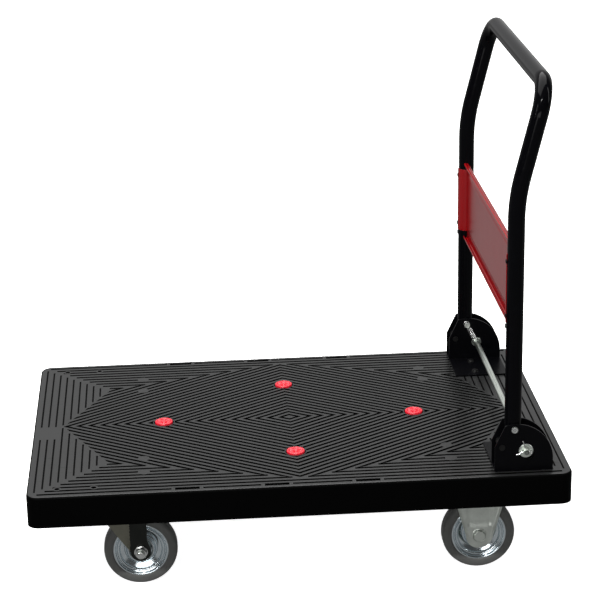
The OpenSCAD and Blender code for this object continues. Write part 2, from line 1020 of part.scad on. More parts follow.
module swivel_plate_left() {
    color("#b4b8ba")
        swivel_plate();
}

module balls() {
    for (i = [0 : ball_n - 1])
        translate([king_x, caster_y, ball_z])
            rotate([0, 0, i * 360 / ball_n])
                translate([ball_ring_r, 0, 0])
                    sphere(r = ball_r, $fn = 24);
}

module balls_right() {
    color("#d5d7d9")
        mirror([0, 1, 0])
            balls();
}

module balls_left() {
    color("#d5d7d9")
        balls();
}

module kingpins() {
    color("#aeb2b5")
        both_sides()
            translate([king_x, caster_y, 0])
                union() {
                    translate([0, 0, plate_top_z])
                        cylinder(r = 9, h = king_head_h, $fn = 32);
                    translate([0, 0, crown_top_z - crown_t - king_nut_h - 1])
                        cylinder(r = king_r, h = plate_top_z - crown_top_z + crown_t + king_nut_h + 1 + e);
                }
}

module kingpin_nuts() {
    color("#aeb2b5")
        both_sides()
            translate([king_x, caster_y, crown_top_z - crown_t - king_nut_h - 0.4])
                difference() {
                    hex(king_nut_r, king_nut_h);
                    translate([0, 0, -1])
                        cylinder(r = king_r, h = king_nut_h + 2);
                }
}

// side outline of a swivel fork's leg in X and Z
module swivel_leg_outline() {
    ax = swivel_axle_x;
    top = crown_top_z;
    union() {
        polygon([[king_x - 26, top], [ax + 8, top], [ax + 8, top - 22],
            [ax + fork_end_r, axle_z + 6], [ax + fork_end_r - 1, axle_z],
            [ax, axle_z - 4], [ax - fork_end_r + 1, axle_z],
            [king_x - 26, top - 16]]);
        translate([ax, axle_z])
            circle(r = fork_end_r);
    }
}

module swivel_fork() {
    difference() {
        union() {
            for (s = [-1, 1])
                translate([0, caster_y + s * (fork_in + fork_t / 2) + fork_t / 2, 0])
                    rotate([90, 0, 0])
                        linear_extrude(fork_t)
                            swivel_leg_outline();
            translate([king_x, caster_y, crown_top_z - crown_t])
                cylinder(r = crown_r, h = crown_t);
            translate([king_x - 26, caster_y - fork_in - 1, crown_top_z - crown_t])
                cube([26 + trail + 8, 2 * fork_in + 2, crown_t]);
        }
        translate([king_x, caster_y, 0])
            cylinder(r = king_r + king_gap, h = big);
        translate([king_x, caster_y, ball_z])
            race_groove();
        translate([swivel_axle_x, caster_y, axle_z])
            bar_y(axle_r, 80);
    }
}

module swivel_fork_right() {
    color("#6f7472")
        mirror([0, 1, 0])
            swivel_fork();
}

module swivel_fork_left() {
    color("#6f7472")
        swivel_fork();
}

// axle bolt with its head inside and its threaded end outside
module axle_bolt(x) {
    translate([x, caster_y, axle_z])
        union() {
            translate([0, (nut_h + stud_out - axle_head_h) / 2, 0])
                bar_y(axle_r, 2 * fork_out + nut_h + stud_out + axle_head_h - 2);
            translate([0, -fork_out, 0])
                rotate([90, 0, 0])
                    hex(nut_af_r, axle_head_h + 2);
        }
}

module axle_nut(x) {
    translate([x, caster_y + fork_out, axle_z])
        rotate([-90, 0, 0])
            difference() {
                union() {
                    cylinder(r = nut_af_r + 1, h = 1.6);
                    hex(nut_af_r, nut_h);
                }
                translate([0, 0, -1])
                    cylinder(r = axle_r, h = nut_h + 2);
            }
}

// tube the bearings run on, held between the fork legs
module axle_sleeve(x) {
    translate([x, caster_y, axle_z])
        difference() {
            bar_y(sleeve_r, 2 * fork_in);
            bar_y(axle_r, 2 * fork_in + 2);
        }
}

module swivel_axle_right() {
    color("#bfc3c5")
        mirror([0, 1, 0])
            axle_bolt(swivel_axle_x);
}

module swivel_axle_left() {
    color("#bfc3c5")
        axle_bolt(swivel_axle_x);
}

module swivel_nut_right() {
    color("#d2d5d6")
        mirror([0, 1, 0])
            axle_nut(swivel_axle_x);
}

module swivel_nut_left() {
    color("#d2d5d6")
        axle_nut(swivel_axle_x);
}

module swivel_sleeve_right() {
    color("#a9adb0")
        mirror([0, 1, 0])
            axle_sleeve(swivel_axle_x);
}

module swivel_sleeve_left() {
    color("#a9adb0")
        axle_sleeve(swivel_axle_x);
}

// side outline of a fixed fork's leg, tapering to a round end at the axle
module fixed_leg_outline() {
    z_full = plate_bot_z - 26;
    union() {
        polygon([[-fixed_top_half, plate_bot_z + e], [fixed_top_half, plate_bot_z + e],
            [fixed_top_half, z_full], [fixed_end_r - 0.6, axle_z - 4],
            [-fixed_end_r + 0.6, axle_z - 4], [-fixed_top_half, z_full]]);
        translate([0, axle_z])
            circle(r = fixed_end_r);
    }
}

module fixed_fork() {
    z_full = plate_bot_z - 26;
    edge_a = atan2(fixed_top_half - fixed_end_r, z_full - axle_z);
    edge_l = (z_full - axle_z) / cos(edge_a);
    translate([caster_x, caster_y, 0])
        difference() {
            union() {
                translate([0, 0, plate_bot_z])
                    round_plate(plate_l, plate_w, caster_plate_t, 8);
                for (s = [-1, 1])
                    translate([0, s * (fork_in + fork_t / 2) + fork_t / 2, 0])
                        rotate([90, 0, 0])
                            linear_extrude(fork_t)
                                fixed_leg_outline();
                for (s = [-1, 1])
                    for (k = [-1, 1])
                        translate([k * fixed_end_r, s * (fork_in + flange_w / 2 + 1), axle_z])
                            rotate([0, k * edge_a, 0])
                                translate([-k * 1.4 - 1.2, -flange_w / 2 - 1, 0])
                                    cube([2.4, flange_w + 2, edge_l - 2]);
            }
            translate([0, 0, axle_z])
                bar_y(axle_r, 80);
            for (bx = [-1, 1])
                for (by = [-1, 1])
                    translate([bx * bolt_x / 2, by * bolt_y / 2, plate_bot_z - 1])
                        cylinder(r = m8_r + 0.4, h = caster_plate_t + 2);
        }
}

module fixed_fork_right() {
    color("#c2c6c2")
        mirror([0, 1, 0])
            fixed_fork();
}

module fixed_fork_left() {
    color("#c2c6c2")
        fixed_fork();
}

// axles with a round head outside and a nut inside
module fixed_axles() {
    color("#cdd1cd")
        both_sides()
            translate([caster_x, caster_y, axle_z])
                union() {
                    translate([0, (axle_head_h - nut_h - stud_out) / 2, 0])
                        bar_y(axle_r, 2 * fork_out + nut_h + stud_out + axle_head_h - 2);
                    translate([0, fork_out, 0])
                        rotate([-90, 0, 0])
                            cylinder(r1 = axle_head_r, r2 = axle_head_r - 1.5, h = axle_head_h);
                }
}

module fixed_axle_nuts() {
    color("#cdd1cd")
        both_sides()
            translate([caster_x, caster_y - fork_out, axle_z])
                rotate([90, 0, 0])
                    difference() {
                        hex(nut_af_r, nut_h);
                        translate([0, 0, -1])
                            cylinder(r = axle_r, h = nut_h + 2);
                    }
}

module fixed_sleeves() {
    color("#a9adb0")
        both_sides()
            axle_sleeve(caster_x);
}

// half section of a rim: radius and distance from the wheel's middle plane
module rim_section() {
    h = hub_rim_half;
    polygon([[bearing_r, -h], [bearing_r + hub_wall, -h], [bearing_r + hub_wall, -5],
        [bearing_r + 6, -3], [rim_r - 11, -6], [rim_r - 8, -10], [rim_r - 3, -9],
        [rim_r - 2, -h], [rim_r + 1.5, -h], [rim_r + 1.5, -h + 2], [rim_r - 1, -h + 3],
        [rim_r - 1, h - 3], [rim_r + 1.5, h - 2], [rim_r + 1.5, h], [rim_r - 2, h],
        [rim_r - 3, 9], [rim_r - 8, 10], [rim_r - 11, 6], [bearing_r + 6, 3],
        [bearing_r + hub_wall, 5], [bearing_r + hub_wall, h], [bearing_r, h],
        [bearing_r, bearing_in - 2], [bearing_r - 3, bearing_in - 2],
        [bearing_r - 3, 2 - bearing_in], [bearing_r, 2 - bearing_in]]);
}

module rim(x) {
    translate([x, caster_y, axle_z])
        rotate([90, 0, 0])
            rotate_extrude($fn = 64)
                rim_section();
}

module tyre(x) {
    h = hub_rim_half;
    w = tyre_w / 2;
    translate([x, caster_y, axle_z])
        rotate([90, 0, 0])
            rotate_extrude($fn = 64)
                polygon([[rim_r - 1, -h + 3], [rim_r + 1.5, -h + 2], [rim_r + 1.5, -h],
                    [rim_r + 3, -w + 0.5], [rim_r + 6, -w], [wheel_r - 6, -w + 0.6],
                    [wheel_r - 2.2, -w + 3.2], [wheel_r - 0.5, -w + 6.5], [wheel_r, -w + 10],
                    [wheel_r, w - 10], [wheel_r - 0.5, w - 6.5], [wheel_r - 2.2, w - 3.2],
                    [wheel_r - 6, w - 0.6], [rim_r + 6, w], [rim_r + 3, w - 0.5],
                    [rim_r + 1.5, h], [rim_r + 1.5, h - 2], [rim_r - 1, h - 3]]);
}

module bearings(x) {
    for (s = [-1, 1])
        translate([x, caster_y + s * (bearing_in - 2 + bearing_w / 2), axle_z])
            difference() {
                bar_y(bearing_r, bearing_w);
                bar_y(sleeve_r + bearing_gap, bearing_w + 2);
            }
}

module front_rim_right() {
    color("#c9d2d4")
        mirror([0, 1, 0])
            rim(swivel_axle_x);
}

module front_rim_left() {
    color("#c9d2d4")
        rim(swivel_axle_x);
}

module rear_rim_right() {
    color("#c9d2d4")
        mirror([0, 1, 0])
            rim(caster_x);
}

module rear_rim_left() {
    color("#c9d2d4")
        rim(caster_x);
}

module front_tyre_right() {
    color("#55585a")
        mirror([0, 1, 0])
            tyre(swivel_axle_x);
}

module front_tyre_left() {
    color("#55585a")
        tyre(swivel_axle_x);
}

module rear_tyre_right() {
    color("#55585a")
        mirror([0, 1, 0])
            tyre(caster_x);
}

module rear_tyre_left() {
    color("#55585a")
        tyre(caster_x);
}

module front_bearings_right() {
    color("#9fa4a6")
        mirror([0, 1, 0])
            bearings(swivel_axle_x);
}

module front_bearings_left() {
    color("#9fa4a6")
        bearings(swivel_axle_x);
}

module rear_bearings_right() {
    color("#9fa4a6")
        mirror([0, 1, 0])
            bearings(caster_x);
}

module rear_bearings_left() {
    color("#9fa4a6")
        bearings(caster_x);
}

deck();
deck_plugs();
caster_inserts();
caster_bolts();
caster_washers();
bracket_right();
bracket_left();
bracket_bolts();
bracket_washers();
bracket_nuts();
pivot_pins();
stop_pins();
lock_springs();
lock_rod();
rod_washers();
split_pins();
handle_tube();
foot_caps();
leg_bumpers();
cross_plate();
plate_rivets();
swivel_plate_right();
swivel_plate_left();
kingpins();
kingpin_nuts();
swivel_fork_right();
swivel_fork_left();
balls_right();
balls_left();
swivel_axle_right();
swivel_axle_left();
swivel_nut_right();
swivel_nut_left();
swivel_sleeve_right();
swivel_sleeve_left();
fixed_fork_right();
fixed_fork_left();
fixed_axles();
fixed_axle_nuts();
fixed_sleeves();
front_rim_right();
front_rim_left();
rear_rim_right();
rear_rim_left();
front_tyre_right();
front_tyre_left();
rear_tyre_right();
rear_tyre_left();
front_bearings_right();
front_bearings_left();
rear_bearings_right();
rear_bearings_left();
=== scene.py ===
import json
import math

import bmesh
import bpy
from bpy.props import FloatProperty, FloatVectorProperty, IntProperty, PointerProperty
from mathutils import Euler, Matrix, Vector


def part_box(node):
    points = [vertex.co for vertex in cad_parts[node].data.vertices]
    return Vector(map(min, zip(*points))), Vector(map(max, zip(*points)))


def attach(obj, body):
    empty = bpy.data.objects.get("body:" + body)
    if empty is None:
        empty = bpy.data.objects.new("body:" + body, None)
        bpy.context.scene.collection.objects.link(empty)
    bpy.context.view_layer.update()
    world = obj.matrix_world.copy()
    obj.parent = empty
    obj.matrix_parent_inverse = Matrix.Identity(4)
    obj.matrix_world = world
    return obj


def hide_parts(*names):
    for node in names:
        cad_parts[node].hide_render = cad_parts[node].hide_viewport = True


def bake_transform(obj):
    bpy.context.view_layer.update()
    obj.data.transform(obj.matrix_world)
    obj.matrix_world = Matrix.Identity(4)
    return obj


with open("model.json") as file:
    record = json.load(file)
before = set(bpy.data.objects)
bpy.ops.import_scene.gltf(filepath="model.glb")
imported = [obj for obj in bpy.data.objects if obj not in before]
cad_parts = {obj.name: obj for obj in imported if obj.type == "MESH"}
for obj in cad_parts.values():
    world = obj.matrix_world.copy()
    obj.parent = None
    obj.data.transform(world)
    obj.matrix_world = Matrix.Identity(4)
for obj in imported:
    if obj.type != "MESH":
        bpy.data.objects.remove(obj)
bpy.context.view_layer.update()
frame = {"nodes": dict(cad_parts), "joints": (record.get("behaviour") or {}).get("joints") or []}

bl_info = {
    "name": "Folding platform cart",
    "version": (1, 0, 0),
    "blender": (4, 5, 0),
    "location": "View3D > Sidebar > Cart",
    "description": "Gives a packed folding platform cart its finishes, pressed parts and wheels",
    "category": "Add Mesh",
}

MM = 0.001
SIDES = {"right": -1, "left": 1}
AXIS_Y = Vector((0, 1, 0))


# ---------- places taken from the frame ----------

def joint_place(name):
    """Where a joint's axis stands, in metres."""
    for joint in frame["joints"]:
        if joint["name"] == name:
            return Vector(joint["pos_m"])
    raise ValueError(f"the frame has no joint {name}")


DECK_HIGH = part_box("deck")[1]
CAP_LOW, CAP_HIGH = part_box("foot_caps")
TUBE_R = (CAP_HIGH.x - CAP_LOW.x) / 2
LEG_X = (CAP_LOW.x + CAP_HIGH.x) / 2
LEG_Y = CAP_HIGH.y - TUBE_R
BRACKET_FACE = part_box("bracket_left")[1].y
PIVOT = joint_place("handle_fold")
ROD_LOW, ROD_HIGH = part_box("lock_rod")
ROD = (ROD_LOW + ROD_HIGH) / 2
ROD_R = (ROD_HIGH.x - ROD_LOW.x) / 2


# ---------- sizes and colours a user would change ----------

class CartColours(bpy.types.PropertyGroup):
    deck: FloatVectorProperty(name="Deck", description="Colour of the moulded deck",
                              default=(0.012, 0.0122, 0.0122), subtype="COLOR", min=0, max=1)
    powder_coat: FloatVectorProperty(name="Powder coat", description="Colour of the tube and brackets",
                                     default=(0.0015, 0.0015, 0.002), subtype="COLOR", min=0, max=1)
    plate: FloatVectorProperty(name="Plate", description="Colour of the pressed cross plate",
                               default=(0.21, 0.0015, 0.003), subtype="COLOR", min=0, max=1)
    plugs: FloatVectorProperty(name="Plugs", description="Colour of the four deck plugs",
                               default=(0.60, 0.010, 0.025), subtype="COLOR", min=0, max=1)
    tyres: FloatVectorProperty(name="Tyres", description="Colour of the rubber tyres",
                               default=(0.092, 0.094, 0.090), subtype="COLOR", min=0, max=1)
    zinc: FloatVectorProperty(name="Zinc", description="Colour of the zinc plated pressings",
                              default=(0.64, 0.68, 0.63), subtype="COLOR", min=0, max=1)
    rims: FloatVectorProperty(name="Rims", description="Colour of the bright plated rims",
                              default=(0.72, 0.79, 0.83), subtype="COLOR", min=0, max=1)
    floor: FloatVectorProperty(name="Floor", description="Colour of the studio floor",
                               default=(0.9, 0.9, 0.9), subtype="COLOR", min=0, max=1)


class CartSizes(bpy.types.PropertyGroup):
    sheet: FloatProperty(name="Sheet", description="Thickness of the cross plate's sheet",
                         default=1.5 * MM, unit="LENGTH")
    lip: FloatProperty(name="Lip", description="How far the plate's rolled lips stand forward",
                       default=7 * MM, unit="LENGTH")
    emboss: FloatProperty(name="Emboss", description="Depth of the plate's pressed panel",
                          default=2 * MM, unit="LENGTH")
    emboss_in: FloatProperty(name="Emboss margin", default=17 * MM, unit="LENGTH",
                             description="Distance of the pressed panel from the edges")
    spring_wire: FloatProperty(name="Spring wire", description="Thickness of the lock springs' wire",
                               default=1.5 * MM, unit="LENGTH")
    spring_turns: IntProperty(name="Spring turns", description="Turns in each lock spring", default=17)
    pin_wire: FloatProperty(name="Split pin wire", description="Thickness of one split pin leg",
                            default=1.9 * MM, unit="LENGTH")
    thread_pitch: FloatProperty(name="Thread pitch", description="Pitch of the thread on the axle studs",
                                default=1.5 * MM, unit="LENGTH")


class CartStage(bpy.types.PropertyGroup):
    lens: FloatProperty(name="Lens", description="Focal length of the camera in millimetres",
                        default=121.8)
    stand: FloatVectorProperty(name="Camera place", description="Where the camera stands",
                               default=(-0.2070, -3.3303, 1.5809), subtype="TRANSLATION", unit="LENGTH")
    heading: FloatProperty(name="Heading", description="How far the camera turns towards the handle",
                           default=math.radians(3.946), subtype="ANGLE")
    pitch: FloatProperty(name="Pitch", description="How far the camera looks down",
                         default=math.radians(19.007), subtype="ANGLE")
    roll: FloatProperty(name="Roll", description="How far the camera leans",
                        default=math.radians(-1.033), subtype="ANGLE")


# ---------- finishes ----------

def connect(tree, socket, value):
    """Links a socket, or sets its value; a colour may leave out its alpha."""
    if isinstance(value, Link):
        tree.links.new(value.socket, socket)
    elif isinstance(value, tuple) and len(value) == 3 and len(socket.default_value) == 4:
        socket.default_value = (*value, 1)
    else:
        socket.default_value = value


class Link:
    """A socket that arithmetic works on: each sign adds the Math node that does it."""

    def __init__(self, tree, socket):
        self.tree = tree
        self.socket = socket

    def _math(self, operation, first, second):
        node = self.tree.nodes.new("ShaderNodeMath")
        node.operation = operation
        connect(self.tree, node.inputs[0], first)
        connect(self.tree, node.inputs[1], second)
        return Link(self.tree, node.outputs[0])

    def __add__(self, other):
        return self._math("ADD", self, other)

    def __radd__(self, other):
        return self._math("ADD", other, self)

    def __sub__(self, other):
        return self._math("SUBTRACT", self, other)

    def __rsub__(self, other):
        return self._math("SUBTRACT", other, self)

    def __mul__(self, other):
        return self._math("MULTIPLY", self, other)

    def __rmul__(self, other):
        return self._math("MULTIPLY", other, self)


class NodeWork:
    """A node tree while it is being filled."""

    def __init__(self, tree):
        self.tree = tree
        self.tree.nodes.clear()

    def add(self, kind, settings=None, inputs=None, out=0):
        """Adds a node: its settings first, then the values or links of its sockets."""
        node = self.tree.nodes.new(kind)
        for key, value in (settings or {}).items():
            setattr(node, key, value)
        for key, value in (inputs or {}).items():
            connect(self.tree, node.inputs[key], value)
        return Link(self.tree, node.outputs[out]) if node.outputs else None

    def coordinate(self, place, axis):
        """One coordinate of a place: 0, 1 and 2 stand for X, Y and Z."""
        return self.add("ShaderNodeSeparateXYZ", {}, {0: place}, out=axis)

    def step(self, value, low, high):
        """0 at low, 1 at high and smooth between."""
        return self.add("ShaderNodeMapRange", {"interpolation_type": "SMOOTHSTEP"},
                        {0: value, 1: low, 2: high, 3: 0.0, 4: 1.0})


class Finish(NodeWork):
    """A material while it is being made: its shader, and the nodes that feed it."""

    def __init__(self, name, **plain):
        self.material = bpy.data.materials.new(name)
        self.material.use_nodes = True
        super().__init__(self.material.node_tree)
        surface = self.add("ShaderNodeBsdfPrincipled")
        self.add("ShaderNodeOutputMaterial", {}, {"Surface": surface})
        self.shader = surface.socket.node
        self.place = self.add("ShaderNodeTexCoord", out="Object")
        self.feed(**plain)

    def feed(self, **sockets):
        """Sets or links the shader's sockets; an underscore stands for a space."""
        for key, value in sockets.items():
            connect(self.tree, self.shader.inputs[key.replace("_", " ")], value)
        return self

    def noise(self, scale, detail=3.0, roughness=0.5, stretch=None):
        """Cloudy values from 0 to 1; scale is in cells a metre, stretch squeezes it along X, Y and Z."""
        place = self.place
        if stretch:
            place = self.add("ShaderNodeVectorMath", {"operation": "MULTIPLY"}, {0: place, 1: stretch})
        return self.add("ShaderNodeTexNoise", {},
                        {"Vector": place, "Scale": scale, "Detail": detail, "Roughness": roughness})

    def blend(self, share, first, second):
        """One colour at share 0, the other at 1."""
        return self.add("ShaderNodeMix", {"data_type": "RGBA"}, {0: share, 6: first, 7: second}, out=2)

    def bump(self, height, depth, strength, normal=None):
        """Relief of a height map whose full range is depth metres."""
        inputs = {"Height": height, "Distance": depth, "Strength": strength}
        if normal:
            inputs["Normal"] = normal
        return self.feed(Normal=self.add("ShaderNodeBump", {}, inputs))

    def soft_edges(self, radius):
        """A normal that rounds every edge off by radius."""
        return self.add("ShaderNodeBevel", {"samples": 4}, {"Radius": radius})


def shade(colour, factor):
    """A colour made lighter or darker."""
    return tuple(min(1.0, part * factor) for part in colour)


def moulded_deck(colour):
    """Grained black moulding: pale scuffs on the lands; the grooves and the skirt below the land tops are
    painted near black as painted shade.
    """
    finish = Finish("moulded_deck", Specular_IOR_Level=0.02, Coat_Roughness=0.3)
    # top is 1 on the land tops and 0 in the grooves and on the skirt, where painted shade goes.
    top = finish.step(finish.coordinate(finish.place, 2), DECK_HIGH.z - 0.45 * MM, DECK_HIGH.z - 0.1 * MM)
    clouds = finish.noise(9, 5, 0.6)
    scuffs = finish.step(finish.noise(26, 6, 0.7, stretch=(1, 5, 1)), 0.56, 0.72)
    worn = finish.blend(clouds, shade(colour, 0.85), shade(colour, 1.35))
    scratched = finish.blend(scuffs * 0.35, worn, shade(colour, 2.6))
    # Grooves and skirt take 0.06 of the deck colour: painted shade, while the lands keep their colour and
    # wear.
    finish.feed(Base_Color=finish.blend(top, shade(colour, 0.06), scratched))
    finish.feed(Roughness=0.5 + 0.12 * clouds + 0.10 * scuffs)
    finish.feed(Coat_Weight=(0.70 - 0.2 * scuffs) * top)
    grain = finish.noise(1500, 2, 0.6)
    return finish.bump(grain, 0.05 * MM, 0.4, finish.soft_edges(0.5 * MM)).material


def powder_coat(name, colour, roughness):
    """Glossy powder coat with the fine ripple of its skin and paler patches of dust."""
    finish = Finish(name, Specular_IOR_Level=0.06)
    dust = finish.step(finish.noise(60, 5, 0.65), 0.5, 0.8)
    finish.feed(Base_Color=finish.blend(dust * 0.5, colour, shade(colour, 1.9)))
    finish.feed(Roughness=roughness + 0.12 * dust + 0.05 * finish.noise(300, 2))
    ripple = finish.noise(420, 2, 0.4)
    return finish.bump(ripple, 0.03 * MM, 0.4, finish.soft_edges(0.8 * MM)).material


def plate_enamel(colour):
    """Smooth red stove enamel with a faint orange-peel skin."""
    finish = Finish("plate_enamel", Specular_IOR_Level=0.42)
    clouds = finish.noise(14, 3)
    finish.feed(Base_Color=finish.blend(clouds, shade(colour, 0.9), shade(colour, 1.1)))
    finish.feed(Roughness=0.16 + 0.06 * finish.noise(30, 3))
    peel = finish.noise(260, 2, 0.4)
    return finish.bump(peel, 0.01 * MM, 0.12, finish.soft_edges(0.5 * MM)).material


def plated(name, colour, roughness, stretch=(1, 1, 1), dull=0.5, relief=0.5):
    """Zinc plate: cloudy passivation, fine rub marks and a few dull patches."""
    finish = Finish(name, Metallic=1.0)
    clouds = finish.noise(45, 4, 0.6)
    rubs = finish.noise(260, 4, 0.65, stretch=stretch)
    patches = finish.step(finish.noise(24, 5, 0.7), 0.55, 0.75)
    tinted = finish.blend(clouds, shade(colour, 0.72), shade(colour, 1.22))
    dulled = finish.blend(patches * dull, tinted, shade(colour, 0.62))
    finish.feed(Base_Color=dulled)
    finish.feed(Roughness=roughness + 0.1 * rubs + 0.3 * dull * patches)
    return finish.bump(rubs, 0.03 * MM, relief, finish.soft_edges(0.6 * MM)).material


def tyre_rubber(colour):
    """Matt grey rubber with a dusty tread and faint cure marks."""
    finish = Finish("tyre_rubber", Specular_IOR_Level=0.35, Sheen_Weight=0.12)
    clouds = finish.noise(40, 5, 0.65)
    specks = finish.step(finish.noise(420, 3, 0.6), 0.6, 0.72)
    dusted = finish.blend(clouds, shade(colour, 0.82), shade(colour, 1.25))
    finish.feed(Base_Color=finish.blend(specks * 0.4, dusted, shade(colour, 1.9)))
    finish.feed(Roughness=0.58 + 0.18 * clouds)
    return finish.bump(finish.noise(900, 3, 0.6), 0.08 * MM, 0.5).material


def gloss_plug(colour):
    """Shiny red plastic, a little scratched."""
    finish = Finish("gloss_plug", Specular_IOR_Level=0.5)
    rubs = finish.noise(500, 4, 0.7, stretch=(1, 4, 1))
    clouds = finish.noise(120, 3)
    finish.feed(Base_Color=finish.blend(clouds, shade(colour, 0.85), shade(colour, 1.15)))
    finish.feed(Roughness=0.3 + 0.1 * rubs)
    return finish.bump(rubs, 0.01 * MM, 0.1).material


def dull_black(name, value, roughness, grain):
    """Black oxide, rubber or plastic trim; grain is in cells a metre."""
    finish = Finish(name, Specular_IOR_Level=0.2)
    clouds = finish.noise(150, 4, 0.6)
    finish.feed(Base_Color=finish.blend(clouds, (value * 0.7,) * 3, (value * 1.5,) * 3))
    finish.feed(Roughness=roughness + 0.2 * clouds)
    return finish.bump(finish.noise(grain, 2), 0.05 * MM, 0.5, finish.soft_edges(0.4 * MM)).material


def turned_brass():
    """Brass with turning marks."""
    finish = Finish("turned_brass", Metallic=1.0)
    rings = finish.noise(300, 3, 0.6, stretch=(1, 1, 12))
    finish.feed(Base_Color=finish.blend(rings, (0.55, 0.40, 0.15), (0.78, 0.60, 0.27)))
    finish.feed(Roughness=0.25 + 0.2 * rings)
    return finish.bump(rings, 0.03 * MM, 0.5).material


def studio_floor(colour):
    """Pale painted floor with hardly any grain."""
    finish = Finish("studio_floor", Specular_IOR_Level=0.0, Emission_Color=(1.0, 1.0, 1.0),
                    Emission_Strength=0.94)
    clouds = finish.noise(3, 3)
    finish.feed(Base_Color=finish.blend(clouds, shade(colour, 0.99), shade(colour, 1.01)))
    finish.feed(Roughness=0.75 + 0.1 * clouds)
    return finish.bump(finish.noise(400, 2), 0.05 * MM, 0.2).material


FINISHES = {}
NODE_FINISH = {
    "deck": "deck", "deck_plugs": "plug", "caster_inserts": "brass", "caster_bolts": "zinc",
    "caster_washers": "zinc", "bracket": "bracket", "bracket_bolts": "oxide",
    "bracket_washers": "zinc", "bracket_nuts": "zinc",
    "pivot_pins": "bright", "stop_pins": "oxide", "lock_springs": "bright", "lock_rod": "rod",
    "rod_washers": "rod", "split_pins": "bright", "handle_tube": "tube", "foot_caps": "cap",
    "leg_bumpers": "rubber", "cross_plate": "plate", "plate_rivets": "oxide",
    "swivel_plate": "pressing", "kingpins": "zinc", "kingpin_nuts": "zinc",
    "swivel_fork": "pressing", "balls": "bright", "swivel_axle": "zinc", "swivel_nut": "bright",
    "swivel_sleeve": "zinc", "fixed_fork": "pressing", "fixed_axles": "pressing",
    "fixed_axle_nuts": "zinc", "fixed_sleeves": "zinc", "front_rim": "rim", "rear_rim": "rim",
    "front_tyre": "tyre", "rear_tyre": "tyre", "front_bearings": "bright", "rear_bearings": "bright",
}


def finish_of(node):
    """The finish a CAD node takes; right and left nodes share one."""
    return FINISHES[NODE_FINISH[node.removesuffix("_right").removesuffix("_left")]]


# ---------- mesh work ----------

class Shape:
    """Faces and corners gathered into one piece of the cart."""

    def __init__(self):
        self.corners = []
        self.faces = []

    def rings(self, rings, closed=True, loop=False):
        """Skins a run of rings that all have the same number of points."""
        start = len(self.corners)
        count = len(rings[0])
        for ring in rings:
            self.corners.extend(Vector(point) for point in ring)
        last = len(rings) if loop else len(rings) - 1
        for i in range(last):
            here = start + i * count
            there = start + ((i + 1) % len(rings)) * count
            for j in range(count if closed else count - 1):
                k = (j + 1) % count
                self.faces.append((here + j, here + k, there + k, there + j))
        if closed and not loop:
            end = start + (len(rings) - 1) * count
            self.faces.append(tuple(range(start, start + count)))
            self.faces.append(tuple(range(end, end + count)))
        return self

    def lathe(self, profile, centre, axis, steps, closed=True):
        """Turns a profile of (radius, distance along the axis) pairs round the axis."""
        axis = Vector(axis).normalized()
        across = axis.orthogonal().normalized()
        up = axis.cross(across)
        rings = []
        for angle in whole_turn(steps):
            out = across * math.cos(angle) + up * math.sin(angle)
            rings.append([Vector(centre) + out * r + axis * t for r, t in profile])
        return self.rings(rings, closed=closed, loop=True)

    def tube(self, path, radius, sides, loop=False):
        """A round wire along a path of points."""
        path = [Vector(point) for point in path]
        count = len(path)
        up = None
        rings = []
        for i, point in enumerate(path):
            before = path[i - 1] if (i or loop) else path[0]
            after = path[(i + 1) % count] if (i < count - 1 or loop) else path[-1]
            along = (after - before).normalized()
            if up is None:
                up = along.orthogonal().normalized()
            up = (up - along * up.dot(along)).normalized()
            side = along.cross(up)
            rings.append([point + (up * math.cos(a) + side * math.sin(a)) * radius
                          for a in whole_turn(sides)])
        return self.rings(rings, loop=loop)

    def grid(self, rows, back):
        """A sheet: a front skin of rows of points, and a back skin that lies at back from it."""
        count = len(rows[0])
        levels = len(rows)
        start = len(self.corners)
        for row in rows:
            self.corners.extend(Vector(point) for point in row)
        back_start = len(self.corners)
        for row in rows:
            self.corners.extend(Vector(point) + Vector(back) for point in row)
        for i in range(levels - 1):
            for j in range(count - 1):
                a = start + i * count + j
                b = back_start + i * count + j
                self.faces.append((a, a + 1, a + 1 + count, a + count))
                self.faces.append((b, b + count, b + count + 1, b + 1))
        edge = [(0, j) for j in range(count)]
        edge += [(i, count - 1) for i in range(1, levels)]
        edge += [(levels - 1, j) for j in range(count - 2, -1, -1)]
        edge += [(i, 0) for i in range(levels - 2, 0, -1)]
        for (i, j), (m, n) in zip(edge, edge[1:] + edge[:1]):
            a, b = i * count + j, m * count + n
            self.faces.append((start + a, back_start + a, back_start + b, start + b))
        return self

    def piece(self, name, body, finish, slot, crease=35, replaces=(), zone=None):
        """Makes the object and lets it ride on its body.

        zone is a second finish and a test that picks its faces by their centre.
        """
        mesh = bpy.data.meshes.new(name)
        mesh.from_pydata([tuple(point) for point in self.corners], [], self.faces)
        work = bmesh.new()
        work.from_mesh(mesh)
        bmesh.ops.remove_doubles(work, verts=work.verts, dist=0.005 * MM)
        bmesh.ops.dissolve_degenerate(work, edges=work.edges, dist=0.004 * MM)
        bmesh.ops.recalc_face_normals(work, faces=work.faces)
        work.to_mesh(mesh)
        work.free()
        mesh.shade_smooth()
        mesh.set_sharp_from_angle(angle=math.radians(crease))
        mesh.materials.append(FINISHES[finish])
        if zone:
            mesh.materials.append(FINISHES[zone[0]])
            for face in mesh.polygons:
                face.material_index = int(zone[1](face.center))
        made = bpy.data.objects.new(name, mesh)
        bpy.context.scene.collection.objects.link(made)
        if body:
            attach(made, body)
        if replaces:
            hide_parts(*replaces)
        return made


def in_mm(pairs):
    """Pairs that are given in millimetres, as metres."""
    return [(u * MM, v * MM) for u, v in pairs]


def whole_turn(steps):
    """The angles of one turn in equal steps, in radians."""
    return [2 * math.pi * i / steps for i in range(steps)]


def smooth(value, low, high):
    """0 below low, 1 above high, and an S between them."""
    t = min(1.0, max(0.0, (value - low) / (high - low)))
    return t * t * (3 - 2 * t)


